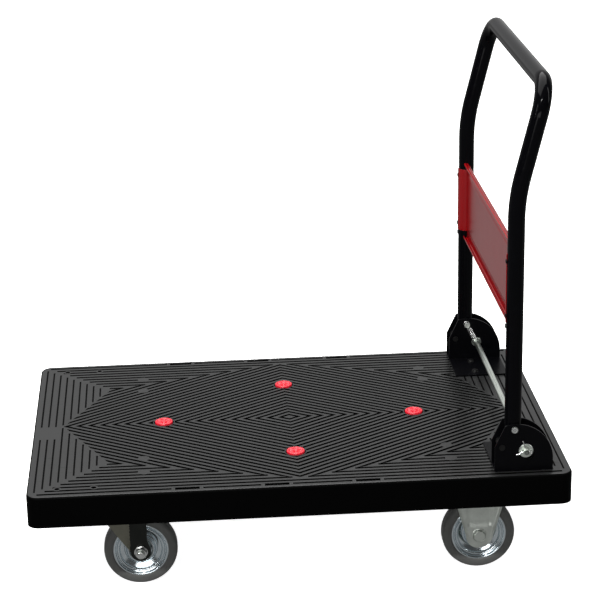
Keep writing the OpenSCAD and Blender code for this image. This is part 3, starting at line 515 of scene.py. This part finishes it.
def quarter(centre, radius, start):
    """Points (u, v) on a quarter of a circle that begins at start degrees."""
    steps = 8
    turns = [math.radians(start + 90 * i / steps) for i in range(steps + 1)]
    return [(centre[0] + radius * math.cos(turn), centre[1] + radius * math.sin(turn)) for turn in turns]


def hex_nut(shape, centre, axis, corner_r, height, bore):
    """A six-sided nut with its corners turned off at the free face."""
    axis = Vector(axis).normalized()
    side = axis.orthogonal().normalized()
    up = axis.cross(side)
    flat_r = corner_r * math.cos(math.pi / 6)

    def hexagon(angle):
        return flat_r / math.cos((angle + math.pi / 6) % (math.pi / 3) - math.pi / 6)

    def turned_off(angle):
        return min(hexagon(angle) * 0.995, flat_r * 1.005)

    def hole(angle):
        return bore

    def countersink(angle):
        return bore + 0.6 * MM

    rings = []
    for radius, rise in ((hexagon, 0.0), (hexagon, 0.82), (turned_off, 1.0),
                         (countersink, 1.0), (hole, 0.92), (hole, 0.0)):
        rings.append([Vector(centre) + (side * math.cos(a) + up * math.sin(a)) * radius(a)
                      + axis * height * rise for a in whole_turn(48)])
    return shape.rings(rings, loop=True)


def threaded_end(shape, centre, axis, radius, length, pitch):
    """The end of a stud: ridges for its thread, and a chamfered tip with a turned dimple."""
    thread_depth, dimple = 0.45 * MM, 0.8 * MM
    profile = [(0, 0)]
    turns = max(1, int(length / pitch) - 1)
    for i in range(turns):
        profile += [(radius, (i + 0.25) * pitch), (radius - thread_depth, (i + 0.75) * pitch)]
    profile += [(radius, turns * pitch), (radius, length - dimple), (radius - 2 * thread_depth, length),
                (radius * 0.35, length), (0, length - dimple)]
    return shape.lathe(profile, centre, axis, steps=40, closed=False)


# ---------- the pieces ----------

def carry_over():
    """Gives every CAD node the finish of its real counterpart."""
    for name, node in frame["nodes"].items():
        node.data.materials.clear()
        node.data.materials.append(finish_of(name))


def build_plugs():
    """Red plugs: a raised rim and a pressed cross of four petals."""
    low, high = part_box("deck_plugs")
    radius = 15.5 * MM
    bowl_r = radius - 2.4 * MM
    bowl_steps = 15
    sunk, petal_depth, crown = 0.5 * MM, 2.8 * MM, 0.5 * MM
    rim = [(radius, DECK_HIGH.z - 1.4 * MM), (radius, high.z - 1.3 * MM),
           (radius - 0.5 * MM, high.z - 0.5 * MM), (radius - 1.3 * MM, high.z - 0.1 * MM), (bowl_r, high.z)]

    def bowl(r, angle):
        """Height of the pressed cross."""
        petal = smooth(abs(math.cos(2 * angle)), 0.35, 0.8)
        hub = smooth(r, 2.2 * MM, 4.2 * MM)
        well = petal * hub * (1 - smooth(r, bowl_r - 3.2 * MM, bowl_r - 0.6 * MM))
        return high.z - sunk + crown * (r / bowl_r) ** 2 - petal_depth * well

    shape = Shape()
    for x, y in ((high.x - radius, 0), (low.x + radius, 0), (0, high.y - radius), (0, low.y + radius)):
        rings = [[(x + r * math.cos(a), y + r * math.sin(a), z) for a in whole_turn(48)] for r, z in rim]
        for k in range(1, bowl_steps):
            r = bowl_r * (1 - k / bowl_steps)
            rings.append([(x + r * math.cos(a), y + r * math.sin(a), bowl(r, a)) for a in whole_turn(48)])
        shape.rings(rings)
    shape.piece("plug_heads", "deck", "plug", "red_plastic", crease=50, replaces=("deck_plugs",))


def build_plate(sizes):
    """The red cross plate: rolled lips, a pressed panel, and ends wrapped round the legs."""
    low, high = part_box("cross_plate")
    sheet, lip, margin = sizes.sheet, sizes.lip, sizes.emboss_in
    front = high.x - 2 * MM - sheet / 2
    half_l = LEG_Y - TUBE_R - 1.2 * MM
    half_h = (high.z - low.z) / 2
    mid_z = (high.z + low.z) / 2
    roll = [(0.2 * MM, 1.8 * MM), (1.0 * MM, 0.5 * MM), (2.6 * MM, 0), (lip - 1.2 * MM, 0.2 * MM),
            (lip + 0.2 * MM, 1.0 * MM), (lip, 3.6 * MM)]
    flat_h = half_h - 3.4 * MM
    flat_steps, columns = 44, 150
    section = [(forward, edge - half_h) for forward, edge in reversed(roll)]
    section += [(0, flat_h * (2 * i / flat_steps - 1)) for i in range(flat_steps + 1)]
    section += [(forward, half_h - edge) for forward, edge in roll]

    def skin(forward, y, rise):
        """A point of the sheet's front skin, with the bead and the pressed panel."""
        inside = min(half_l - abs(y), half_h - abs(rise)) - margin
        pressed = sizes.emboss * smooth(inside, -1.5 * MM, 2.5 * MM)
        bead = 0.9 * MM * (smooth(inside, -5 * MM, -3 * MM) - smooth(inside, -2 * MM, 0))
        return (front - forward - pressed + bead, y, mid_z + rise)

    shape = Shape().grid([[skin(forward, half_l * (2 * j / columns - 1), rise) for j in range(columns + 1)]
                          for forward, rise in section], (sheet, 0, 0))
    saddle_in, rivet_in, rounding = 13 * MM, 12.5 * MM, 0.25 * MM
    saddle_h = 2 * (half_h - saddle_in)
    outer = TUBE_R + sheet
    inner = TUBE_R + 0.05 * MM
    wrap_steps, saddle_steps = 16, 24
    wrap = [math.radians(272 - 94 * k / wrap_steps) for k in range(wrap_steps + 1)]
    for side in SIDES.values():
        rings = []
        for i in range(saddle_steps + 1):
            rim = outer - rounding if i in (0, saddle_steps) else outer
            z = mid_z + saddle_h * (i / saddle_steps - 0.5)
            edge = [(rim, turn) for turn in wrap]
            edge += [(rim * inner / outer, turn) for turn in reversed(wrap)]
            rings.append([(LEG_X + r * math.cos(turn), side * (LEG_Y + r * math.sin(turn)), z)
                          for r, turn in edge])
        shape.rings(rings)
    shape.piece("cross_plate_sheet", "handle", "plate", "red_sheet", crease=42, replaces=("cross_plate",))
    rivets = Shape()
    rivet_rise = saddle_h / 2 - rivet_in
    for side in SIDES.values():
        for rise in (-rivet_rise, rivet_rise):
            rivets.lathe(in_mm([(0, -0.6), (3.8, -0.6), (3.8, 0.1), (3.2, 0.8), (2.0, 1.2), (0, 1.35)]),
                         (LEG_X - outer, side * LEG_Y, mid_z + rise), (-1, 0, 0), steps=28, closed=False)
    rivets.piece("plate_rivet_heads", "handle", "oxide", "black_fixing", replaces=("plate_rivets",))


def build_springs(sizes):
    """Coiled lock springs hooked over the pivot pins and the rod."""
    down = ROD - PIVOT
    down.y = 0
    length = down.length
    down.normalize()
    across = Vector((-down.z, 0, down.x))
    coil_r, pin_hook_r, rod_hook_r = 4.9 * MM, 5.6 * MM, 6.6 * MM
    top, bottom = 9.5 * MM, length - 11 * MM
    turn_steps, ease_steps, hook_steps = 16, 8, 16
    steps = sizes.spring_turns * turn_steps

    def hook(centre, pull, radius, first):
        """Most of a turn of wire round a pin; first is its start in degrees, from the side of pull."""
        turns = [math.radians(first + 290 * i / hook_steps) for i in range(hook_steps + 1)]
        return [centre + (across * math.sin(turn) + pull * math.cos(turn)) * radius for turn in turns]

    for name, side in SIDES.items():
        start = Vector((PIVOT.x, side * (LEG_Y - TUBE_R - 9 * MM), PIVOT.z))
        end = start + down * length
        path = hook(start, -down, pin_hook_r, -60)
        path.append(start + down * (top - 2 * MM) + across * 0.5 * MM)
        for i in range(steps + 1):
            turn = 2 * math.pi * i / turn_steps
            r = coil_r * min(1.0, i / ease_steps, (steps - i) / ease_steps)
            path.append(start + down * (top + (bottom - top) * i / steps)
                        + across * math.cos(turn) * r + AXIS_Y * math.sin(turn) * r)
        path.append(end - down * 8.2 * MM - across * 0.5 * MM)
        path += hook(end, down, rod_hook_r, 130)
        made = Shape().tube(path, sizes.spring_wire / 2, sides=10).piece(
            f"lock_spring_{name}", None, "bright", "bright_steel", replaces=("lock_springs",))
        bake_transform(made)


def split_pin(shape, centre, side, wire):
    """Two legs bent apart on the rod's end, and the eye behind them."""
    start = Vector((1.5 * MM, 0, -0.6 * MM))
    legs = [((-3.2, 0.2, 0.9), (-16.5, 1.5, -5.0)), ((-1.2, 0.6, 3.8), (-6.5, 0.3, 19.5))]
    for leg in legs:
        base, tip = [Vector((x, side * y, z)) * MM for x, y, z in leg]
        path = [centre + start * (1 - t) + base * t for t in (0, 0.5, 1)]
        path += [centre + base + (tip - base) * t for t in (0.25, 0.5, 0.75, 1.0)]
        shape.tube(path, wire, sides=12)
    eye = centre + Vector((6.2 * MM, 0, -2.4 * MM))
    shape.tube([eye + Vector((3.2 * math.cos(a), side * 0.6, 2.6 * math.sin(a))) * MM
                for a in whole_turn(20)], wire, sides=10, loop=True)


def build_lock_trim(sizes):
    """Washers, split pins and rod ends of the lock, and the pivot rivets."""
    washers, pins, ends, rivets = Shape(), Shape(), Shape(), Shape()
    bore = ROD_R / MM
    inner_face = LEG_Y - TUBE_R - 3.8 * MM
    for side in SIDES.values():
        axis = (0, side, 0)
        washers.lathe(in_mm([(bore, 0), (11.4, 0), (12, 0.5), (12, 1.5), (11.5, 2), (6.6, 2), (bore, 1.6)]),
                      (ROD.x, side * (BRACKET_FACE + 0.3 * MM), ROD.z), axis, steps=64)
        washers.lathe(in_mm([(bore, 0), (8.6, 0), (9, 0.4), (9, 1.6), (8.6, 2), (bore, 2)]),
                      (ROD.x, side * inner_face, ROD.z), (0, -side, 0), steps=48)
        ends.lathe(in_mm([(0, -14), (bore + 0.03, -14), (bore + 0.03, -1.2), (bore - 1.2, 0), (1.5, 0),
                          (0, -0.7)]),
                   (ROD.x, side * ROD_HIGH.y, ROD.z), axis, steps=40, closed=False)
        rivets.lathe(in_mm([(0, -1), (5.5, -1), (5.5, 1.2), (4.8, 2.6), (3.9, 3.1), (3.1, 2.9), (2.5, 1.6),
                            (1.6, 0.9), (0, 1.3)]),
                     (PIVOT.x, side * BRACKET_FACE, PIVOT.z), axis, steps=40, closed=False)
        split_pin(pins, Vector((ROD.x, side * (BRACKET_FACE + 5.4 * MM), ROD.z)), side, sizes.pin_wire / 2)
    washers.piece("lock_washers", "lock", "rod", "zinc_rod", replaces=("rod_washers",))
    pins.piece("lock_split_pins", "lock", "bright", "bright_steel", replaces=("split_pins",))
    ends.piece("lock_rod_ends", "lock", "rod", "zinc_rod")
    rivets.piece("pivot_rivet_heads", "deck", "zinc", "bright_steel")


# Half sections of a rim and a tyre, in mm: radius on a wheel of WHEEL_R, and distance from the middle.
WHEEL_R = 62.5
RIM_BORE = 15.2
RIM_HALF = [(47.4, 12.0), (47.3, 13.0), (46.6, 13.6), (45.4, 13.7), (44.2, 13.2), (43.2, 12.2), (42.7, 10.8),
            (42.2, 9.0), (41.6, 8.4), (40.9, 8.8), (40.2, 10.4), (39.2, 11.4), (37.8, 11.4), (36.6, 10.4),
            (35.8, 9.0), (35.2, 7.0), (34.2, 5.4), (32.6, 4.6), (29.0, 4.5), (26.2, 5.0), (24.6, 6.4),
            (23.8, 8.6), (23.3, 10.8), (22.4, 12.0), (21.0, 12.2), (19.8, 11.4), (19.4, 9.0), (19.2, 6.2),
            (RIM_BORE, 5.8)]
TYRE_HALF = [(45.8, 12.0), (47.0, 13.9), (48.4, 14.7), (50.4, 15.0), (53.4, 15.0), (56.2, 14.8),
             (58.6, 14.1), (60.4, 12.9), (61.6, 11.2), (62.2, 9.2), (62.5, 7.0), (62.5, 3.0), (62.5, 0.6)]
TYRE_CROWN = (62.42, 0)
TYRE_SEAT = [(45.0, -10), (45.0, 10)]
SHIELD = [(8.3, 10.5), (8.3, 12.2), (9.4, 12.6), (10.6, 12.0), (13.4, 11.6), (14.8, 12.0), (15.6, 12.1),
          (16.2, 11.2), (16.2, 10.5)]


def mirrored(half):
    """A half section run backwards on the other side of the middle."""
    return [(r, -t) for r, t in reversed(half)]


def build_wheels():
    """Stepped bright rims, round-shouldered tyres and greased bearing shields."""
    rim = RIM_HALF + mirrored(RIM_HALF) + [(RIM_BORE, 0)]
    tyre = TYRE_HALF + [TYRE_CROWN] + mirrored(TYRE_HALF) + TYRE_SEAT
    for end in ("front", "rear"):
        for name in SIDES:
            body = f"{end}_wheel_{name}"
            centre = joint_place(f"{body}_spin")
            scale = (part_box(f"{end}_tyre_{name}")[1].x - centre.x) / WHEEL_R
            Shape().lathe([(r * scale, t * MM) for r, t in rim], centre, AXIS_Y, steps=120).piece(
                f"{end}_rim_pressing_{name}", body, "rim", "zinc_rim", crease=50,
                replaces=(f"{end}_rim_{name}",))
            Shape().lathe([(r * scale, t * MM) for r, t in tyre], centre, AXIS_Y, steps=128).piece(
                f"{end}_tyre_rubber_{name}", body, "tyre", "grey_tyre", crease=60,
                replaces=(f"{end}_tyre_{name}",))
            shields = Shape()
            for face in (-1, 1):
                shields.lathe(in_mm(SHIELD), centre, (0, face, 0), steps=60)
            shields.piece(f"{end}_bearing_shields_{name}", body, "zinc", "bright_steel")


FORK_FACE = 21 * MM
FORK_SHEET = 2.6 * MM


def fork_legs(shape, axle, left, right, top, bottom, outward, columns):
    """Both pressed legs of a fork, between two edges; outward(x, z) is how far a leg stands out."""
    steps = 60
    for leg in (-1, 1):
        face = axle.y + leg * FORK_FACE
        rows = []
        for i in range(steps + 1):
            z = top + (bottom - top) * (1 - (1 - i / steps) ** 1.6)
            start, end = left(z), right(z)
            spots = [start + (end - start) * j / columns for j in range(columns + 1)]
            rows.append([(axle.x + x, face + leg * outward(x, z), z) for x in spots])
        shape.grid(rows, (0, -leg * FORK_SHEET, 0))


def round_end(axle, radius, z, least):
    """Half the width of a leg's round end at height z, and never under least."""
    return math.sqrt(max(least ** 2, radius ** 2 - (axle.z - z) ** 2))


def build_fixed_forks():
    """Rigid caster forks: pressed legs with turned-out edges and a sunk middle, and their plate."""
    wide, end_r, least = 42 * MM, 23 * MM, 0.4 * MM
    plate_t, corner_r = 3.5 * MM, 8 * MM
    for name, side in SIDES.items():
        low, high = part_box(f"fixed_fork_{name}")
        axle = joint_place(f"rear_wheel_{name}_spin")
        top = high.z - plate_t
        shoulder = top - 26 * MM

        def half(z):
            if z > shoulder:
                return wide
            if z > axle.z:
                return end_r + (wide - end_r) * (z - axle.z) / (shoulder - axle.z)
            return round_end(axle, end_r, z, least)

        def outward(x, z):
            edge = half(z) - abs(x)
            lip = 3.6 * MM * (1 - smooth(edge, 0, 4.2 * MM)) * smooth(z, axle.z - 20 * MM, axle.z + 16 * MM)
            sunk = smooth(z, axle.z + 14 * MM, axle.z + 25 * MM) * (1 - smooth(abs(x), 17 * MM, 25 * MM))
            return lip - 2.2 * MM * sunk

        shape = Shape()
        fork_legs(shape, axle, lambda z: -half(z), half, top, axle.z - end_r, outward, 34)
        shape.piece(f"fixed_fork_legs_{name}", "deck", "pressing", "zinc_pressing", crease=48)
        half_x, half_y = (high.x - low.x) / 2, (high.y - low.y) / 2
        outline = []
        for sx, sy, start in ((1, 1, 0), (-1, 1, 90), (-1, -1, 180), (1, -1, 270)):
            outline += quarter((sx * (half_x - corner_r), sy * (half_y - corner_r)), corner_r, start)
        rings = []
        for inset, rise in in_mm([(0.6, 0.0), (0, 0.6), (0, 2.9), (0.6, 3.5)]):
            rings.append([(axle.x + u * (1 - inset / half_x), axle.y + v * (1 - inset / half_y), top + rise)
                          for u, v in outline])
        Shape().rings(rings).piece(f"fixed_fork_plate_{name}", "deck", "pressing", "zinc_pressing",
                                   replaces=(f"fixed_fork_{name}",))
        outer = (axle.x, axle.y + side * FORK_FACE, axle.z)
        head = Shape()
        head.lathe(in_mm([(0, -1), (10.6, -1), (10.6, 1.2), (10.0, 2.6), (8.4, 3.2), (3.0, 3.5), (0, 3.5)]),
                   outer, (0, side, 0), steps=56, closed=False)
        head.lathe(in_mm([(10.9, -0.5), (13.2, -0.5), (13.2, 0.5), (12.6, 0.9), (11.2, 0.9), (10.9, 0.5)]),
                   outer, (0, side, 0), steps=56)
        head.piece(f"fixed_axle_head_{name}", "deck", "pressing", "zinc_pressing")


def build_swivel_forks(sizes):
    """Swivel caster forks: raked legs with a flat web painted near black as painted shade, a turned-out
    edge, crown, nut and stud.
    """
    end_r, neck_r, rake, least = 17 * MM, 11 * MM, 0.582, 0.4 * MM
    washer_t, nut_h, nut_r, stud_r, stud_place = 1.8 * MM, 7 * MM, 10.4 * MM, 6 * MM, 7.6 * MM
    for name, side in SIDES.items():
        low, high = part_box(f"swivel_fork_{name}")
        body = f"swivel_{name}"
        axle = joint_place(f"front_wheel_{name}_spin")
        king = joint_place(f"swivel_{name}_turn")
        top = high.z

        def left(z):
            if z > axle.z:
                return -end_r - (z - axle.z) * rake
            return -round_end(axle, end_r, z, least)

        def right(z):
            if z > axle.z:
                return end_r - (end_r - neck_r) * smooth(z, axle.z, axle.z + 24 * MM)
            return round_end(axle, end_r, z, least)

        def outward(x, z):
            wing = max(0.0, -x - end_r)
            return 0.55 * wing * smooth(wing, 0, 4 * MM) * smooth(z, axle.z, axle.z + 12 * MM)

        # Faces of the web take a near black copy of the zinc: painted shade.
        def in_shaded_web(spot):
            return spot.x > axle.x - 18 * MM and spot.z < top - 6 * MM

        shape = Shape()
        fork_legs(shape, axle, left, right, top, axle.z - end_r, outward, 44)
        crown = in_mm([(7, -5), (29, -5), (30.5, -4), (30.5, -1), (29.5, 0), (7, 0)])
        shape.lathe(crown, (king.x, king.y, top), (0, 0, 1), steps=64)
        bridge = []
        for rise, inset in in_mm([(-5, 0.6), (-4.4, 0), (-0.6, 0), (0, 0.6)]):
            back, ahead, half_y = low.x + inset, axle.x + neck_r - inset, 20.5 * MM - inset
            bridge.append([(x, axle.y + y, top + rise) for x, y in
                           ((back, -half_y), (ahead, -half_y), (ahead, half_y), (back, half_y))])
        shape.rings(bridge)
        shape.piece(f"swivel_fork_pressing_{name}", body, "olive_pressing", "zinc_pressing", crease=40,
                    replaces=(f"swivel_fork_{name}",), zone=("painted_shade_pressing", in_shaded_web))
        fixing = Shape()
        axis = Vector((0, side, 0))
        outer = axle + axis * FORK_FACE
        washer = in_mm([(6.2, 0), (11.6, 0), (11.6, 1.2), (11.0, 1.8), (6.2, 1.8)])
        fixing.lathe(washer, outer, axis, steps=48)
        hex_nut(fixing, outer + axis * washer_t, axis, nut_r, nut_h, stud_r + 0.05 * MM)
        threaded_end(fixing, outer + axis * stud_place, axis, stud_r, 7 * MM, sizes.thread_pitch)
        fixing.piece(f"swivel_axle_fixing_{name}", body, "bright", "bright_steel",
                     replaces=(f"swivel_nut_{name}",))


def build_deck_trim():
    """Small moulded bars that bridge the ends of the strap slots."""
    slot_places = (-187 * MM, -40 * MM, 110 * MM)
    slot_y = DECK_HIGH.y - 13 * MM
    bar_half_w, bar_half_l, bar_place = 1.6 * MM, 4.4 * MM, 21.5 * MM
    profile = [(1.0, -2.6 * MM), (1.0, -0.7 * MM), (0.82, -0.15 * MM), (0.5, 0)]
    shape = Shape()
    for slot_x in slot_places:
        for side in SIDES.values():
            for end in (-1, 1):
                x, y = slot_x + end * bar_place, side * slot_y
                rings = []
                for share, rise in profile:
                    a = bar_half_w * share
                    b = bar_half_l - bar_half_w * (1 - share)
                    rings.append([(x + u * a, y + v * b, DECK_HIGH.z + rise)
                                  for u, v in ((-1, -1), (1, -1), (1, 1), (-1, 1))])
                shape.rings(rings)
    shape.piece("strap_slot_bars", "deck", "deck", "deck_plastic")


# ---------- the stage ----------

def area_light(name, place, aim, size, power):
    """A soft box that faces the point aim."""
    lamp = bpy.data.lights.new(name, "AREA")
    lamp.shape = "RECTANGLE"
    lamp.size, lamp.size_y = size
    lamp.energy = power
    made = bpy.data.objects.new(name, lamp)
    made.location = place
    made.rotation_euler = (Vector(aim) - Vector(place)).to_track_quat("-Z", "Y").to_euler()
    bpy.context.scene.collection.objects.link(made)


def studio_air():
    """White backdrop for the camera; for lighting, bright behind the cart and dim in front."""
    white = (1, 1, 1)
    world = bpy.data.worlds.new("studio_air")
    world.use_nodes = True
    air = NodeWork(world.node_tree)
    place = air.add("ShaderNodeTexCoord", out="Generated")
    behind = air.step(air.coordinate(place, 1), 0.2, 0.9)
    below = air.step(air.coordinate(place, 2), 0.02, -0.1)
    above = 0.06 + 0.55 * behind
    lit = air.add("ShaderNodeBackground", {}, {"Color": white, "Strength": above + (0.28 - above) * below})
    seen = air.add("ShaderNodeBackground", {}, {"Color": white, "Strength": 1.0})
    rays = air.add("ShaderNodeLightPath", out="Is Camera Ray")
    mix = air.add("ShaderNodeMixShader", {}, {0: rays, 1: lit, 2: seen})
    air.add("ShaderNodeOutputWorld", {}, {"Surface": mix})
    bpy.context.scene.world = world


def build_floor():
    """A thin slab under the wheels that neither bounces light nor shows in the gloss."""
    reach, gap, thickness = 9.0, 0.3 * MM, 4 * MM
    marks = [share * reach for share in (-1, -0.3, 0.3, 1)]
    slab = Shape().grid([[(x, y, -gap) for x in marks] for y in marks], (0, 0, -thickness))
    mesh = bpy.data.meshes.new("studio_floor")
    mesh.from_pydata([tuple(point) for point in slab.corners], [], slab.faces)
    mesh.materials.append(FINISHES["floor"])
    made = bpy.data.objects.new("studio_floor", mesh)
    made.visible_diffuse = False
    made.visible_glossy = False
    bpy.context.scene.collection.objects.link(made)


def build_stage(stage):
    """Floor, air, lights and camera."""
    build_floor()
    studio_air()
    area_light("overhead", (-0.3, 0.6, 3.2), (0, 0, 0), (4.0, 3.0), 200)
    area_light("left_strip", (-2.6, -1.6, 1.7), (0, 0, 0.35), (0.12, 1.4), 14)
    area_light("front_fill", (-0.8, -3.6, 0.9), (0, 0, 0.2), (2.2, 0.8), 30)
    area_light("high_spot", (-0.9, -2.4, 3.0), (0.35, -0.25, 0.8), (0.09, 0.09), 45)
    area_light("high_spot_pair", (-0.5, -2.4, 3.0), (0.35, -0.25, 0.8), (0.09, 0.09), 45)
    area_light("right_strip", (2.4, -0.6, 1.8), (0.2, 0, 0.3), (0.2, 1.8), 12)
    camera = bpy.data.cameras.new("camera")
    camera.lens = stage.lens
    camera.sensor_width = 36
    camera.clip_end = 100
    holder = bpy.data.objects.new("camera", camera)
    turn = Euler((0, 0, -stage.heading)).to_matrix()
    tilt = Euler((math.pi / 2 - stage.pitch, 0, 0)).to_matrix()
    lean = Euler((0, 0, stage.roll)).to_matrix()
    holder.matrix_world = (turn @ tilt @ lean).to_4x4()
    holder.location = stage.stand
    bpy.context.scene.collection.objects.link(holder)
    bpy.context.scene.camera = holder
    bpy.context.scene.view_settings.view_transform = "Standard"


# ---------- operators ----------

class CART_OT_finishes(bpy.types.Operator):
    """Mixes the finishes and gives every CAD node its own"""
    bl_idname = "cart.finishes"
    bl_label = "Finishes"

    def execute(self, context):
        colours = context.scene.cart_colours
        zinc = tuple(colours.zinc)
        FINISHES.update({
            "deck": moulded_deck(tuple(colours.deck)),
            "tube": powder_coat("tube_coat", tuple(colours.powder_coat), 0.06),
            "bracket": powder_coat("bracket_coat", tuple(colours.powder_coat), 0.26),
            "plate": plate_enamel(tuple(colours.plate)),
            "plug": gloss_plug(tuple(colours.plugs)),
            "tyre": tyre_rubber(tuple(colours.tyres)),
            "rim": plated("bright_rim", tuple(colours.rims), 0.09, (1, 1, 1), 0.06, 0.08),
            "pressing": plated("zinc_pressing", zinc, 0.30, (1, 1, 4)),
            # A near black copy of the zinc, 0.045 of it, for the swivel forks' webs: painted shade.
            "painted_shade_pressing": plated("painted_shade_pressing", shade(zinc, 0.045), 0.3, (1, 1, 4)),
            "olive_pressing": plated("olive_pressing", (0.24, 0.235, 0.19), 0.34, (1, 1, 4)),
            "zinc": plated("zinc_fixing", zinc, 0.26),
            "rod": plated("drawn_rod", shade(zinc, 1.15), 0.24, (6, 0.3, 6), 0.35),
            "bright": plated("bright_steel", (0.72, 0.73, 0.72), 0.16, (1, 1, 3), 0.2),
            "oxide": dull_black("black_oxide", 0.003, 0.32, 900),
            "cap": dull_black("cap_plastic", 0.005, 0.42, 700),
            "rubber": dull_black("bumper_rubber", 0.014, 0.6, 600),
            "brass": turned_brass(),
            "floor": studio_floor(tuple(colours.floor)),
        })
        carry_over()
        return {"FINISHED"}


class CART_OT_deck_trim(bpy.types.Operator):
    """Adds the strap slot bars to the deck"""
    bl_idname = "cart.deck_trim"
    bl_label = "Deck trim"

    def execute(self, context):
        build_deck_trim()
        return {"FINISHED"}


class CART_OT_plugs(bpy.types.Operator):
    """Builds the four red plugs"""
    bl_idname = "cart.plugs"
    bl_label = "Deck plugs"

    def execute(self, context):
        build_plugs()
        return {"FINISHED"}


class CART_OT_plate(bpy.types.Operator):
    """Builds the pressed cross plate and its rivets"""
    bl_idname = "cart.plate"
    bl_label = "Cross plate"

    def execute(self, context):
        build_plate(context.scene.cart_sizes)
        return {"FINISHED"}


class CART_OT_lock(bpy.types.Operator):
    """Builds the springs, washers, split pins and rivets of the lock"""
    bl_idname = "cart.lock"
    bl_label = "Lock"

    def execute(self, context):
        build_springs(context.scene.cart_sizes)
        build_lock_trim(context.scene.cart_sizes)
        return {"FINISHED"}


class CART_OT_wheels(bpy.types.Operator):
    """Builds the rims, tyres and bearing shields"""
    bl_idname = "cart.wheels"
    bl_label = "Wheels"

    def execute(self, context):
        build_wheels()
        return {"FINISHED"}


class CART_OT_forks(bpy.types.Operator):
    """Builds the fixed and the swivel forks"""
    bl_idname = "cart.forks"
    bl_label = "Forks"

    def execute(self, context):
        build_fixed_forks()
        build_swivel_forks(context.scene.cart_sizes)
        return {"FINISHED"}


class CART_OT_stage(bpy.types.Operator):
    """Sets up the floor, the lights and the camera"""
    bl_idname = "cart.stage"
    bl_label = "Stage"

    def execute(self, context):
        build_stage(context.scene.cart_stage)
        return {"FINISHED"}


OPERATORS = (CART_OT_finishes, CART_OT_deck_trim, CART_OT_plugs, CART_OT_plate, CART_OT_lock,
             CART_OT_wheels, CART_OT_forks, CART_OT_stage)


class CART_PT_builder(bpy.types.Panel):
    """Lists the steps that build the cart"""
    bl_idname = "CART_PT_builder"
    bl_label = "Folding platform cart"
    bl_space_type = "VIEW_3D"
    bl_region_type = "UI"
    bl_category = "Cart"

    def draw(self, context):
        for operator in OPERATORS:
            self.layout.operator(operator.bl_idname)
        for group in ("cart_colours", "cart_sizes", "cart_stage"):
            settings = getattr(context.scene, group)
            for key in settings.__annotations__:
                self.layout.prop(settings, key)


GROUPS = {"cart_colours": CartColours, "cart_sizes": CartSizes, "cart_stage": CartStage}


def register():
    for group in GROUPS.values():
        bpy.utils.register_class(group)
    for operator in OPERATORS:
        bpy.utils.register_class(operator)
    bpy.utils.register_class(CART_PT_builder)
    for name, group in GROUPS.items():
        setattr(bpy.types.Scene, name, PointerProperty(type=group))


def unregister():
    for name in GROUPS:
        delattr(bpy.types.Scene, name)
    bpy.utils.unregister_class(CART_PT_builder)
    for operator in reversed(OPERATORS):
        bpy.utils.unregister_class(operator)
    for group in reversed(list(GROUPS.values())):
        bpy.utils.unregister_class(group)


def main():
    register()
    for operator in OPERATORS:
        area, action = operator.bl_idname.split(".")
        getattr(getattr(bpy.ops, area), action)()


if __name__ == "__main__":
    main()
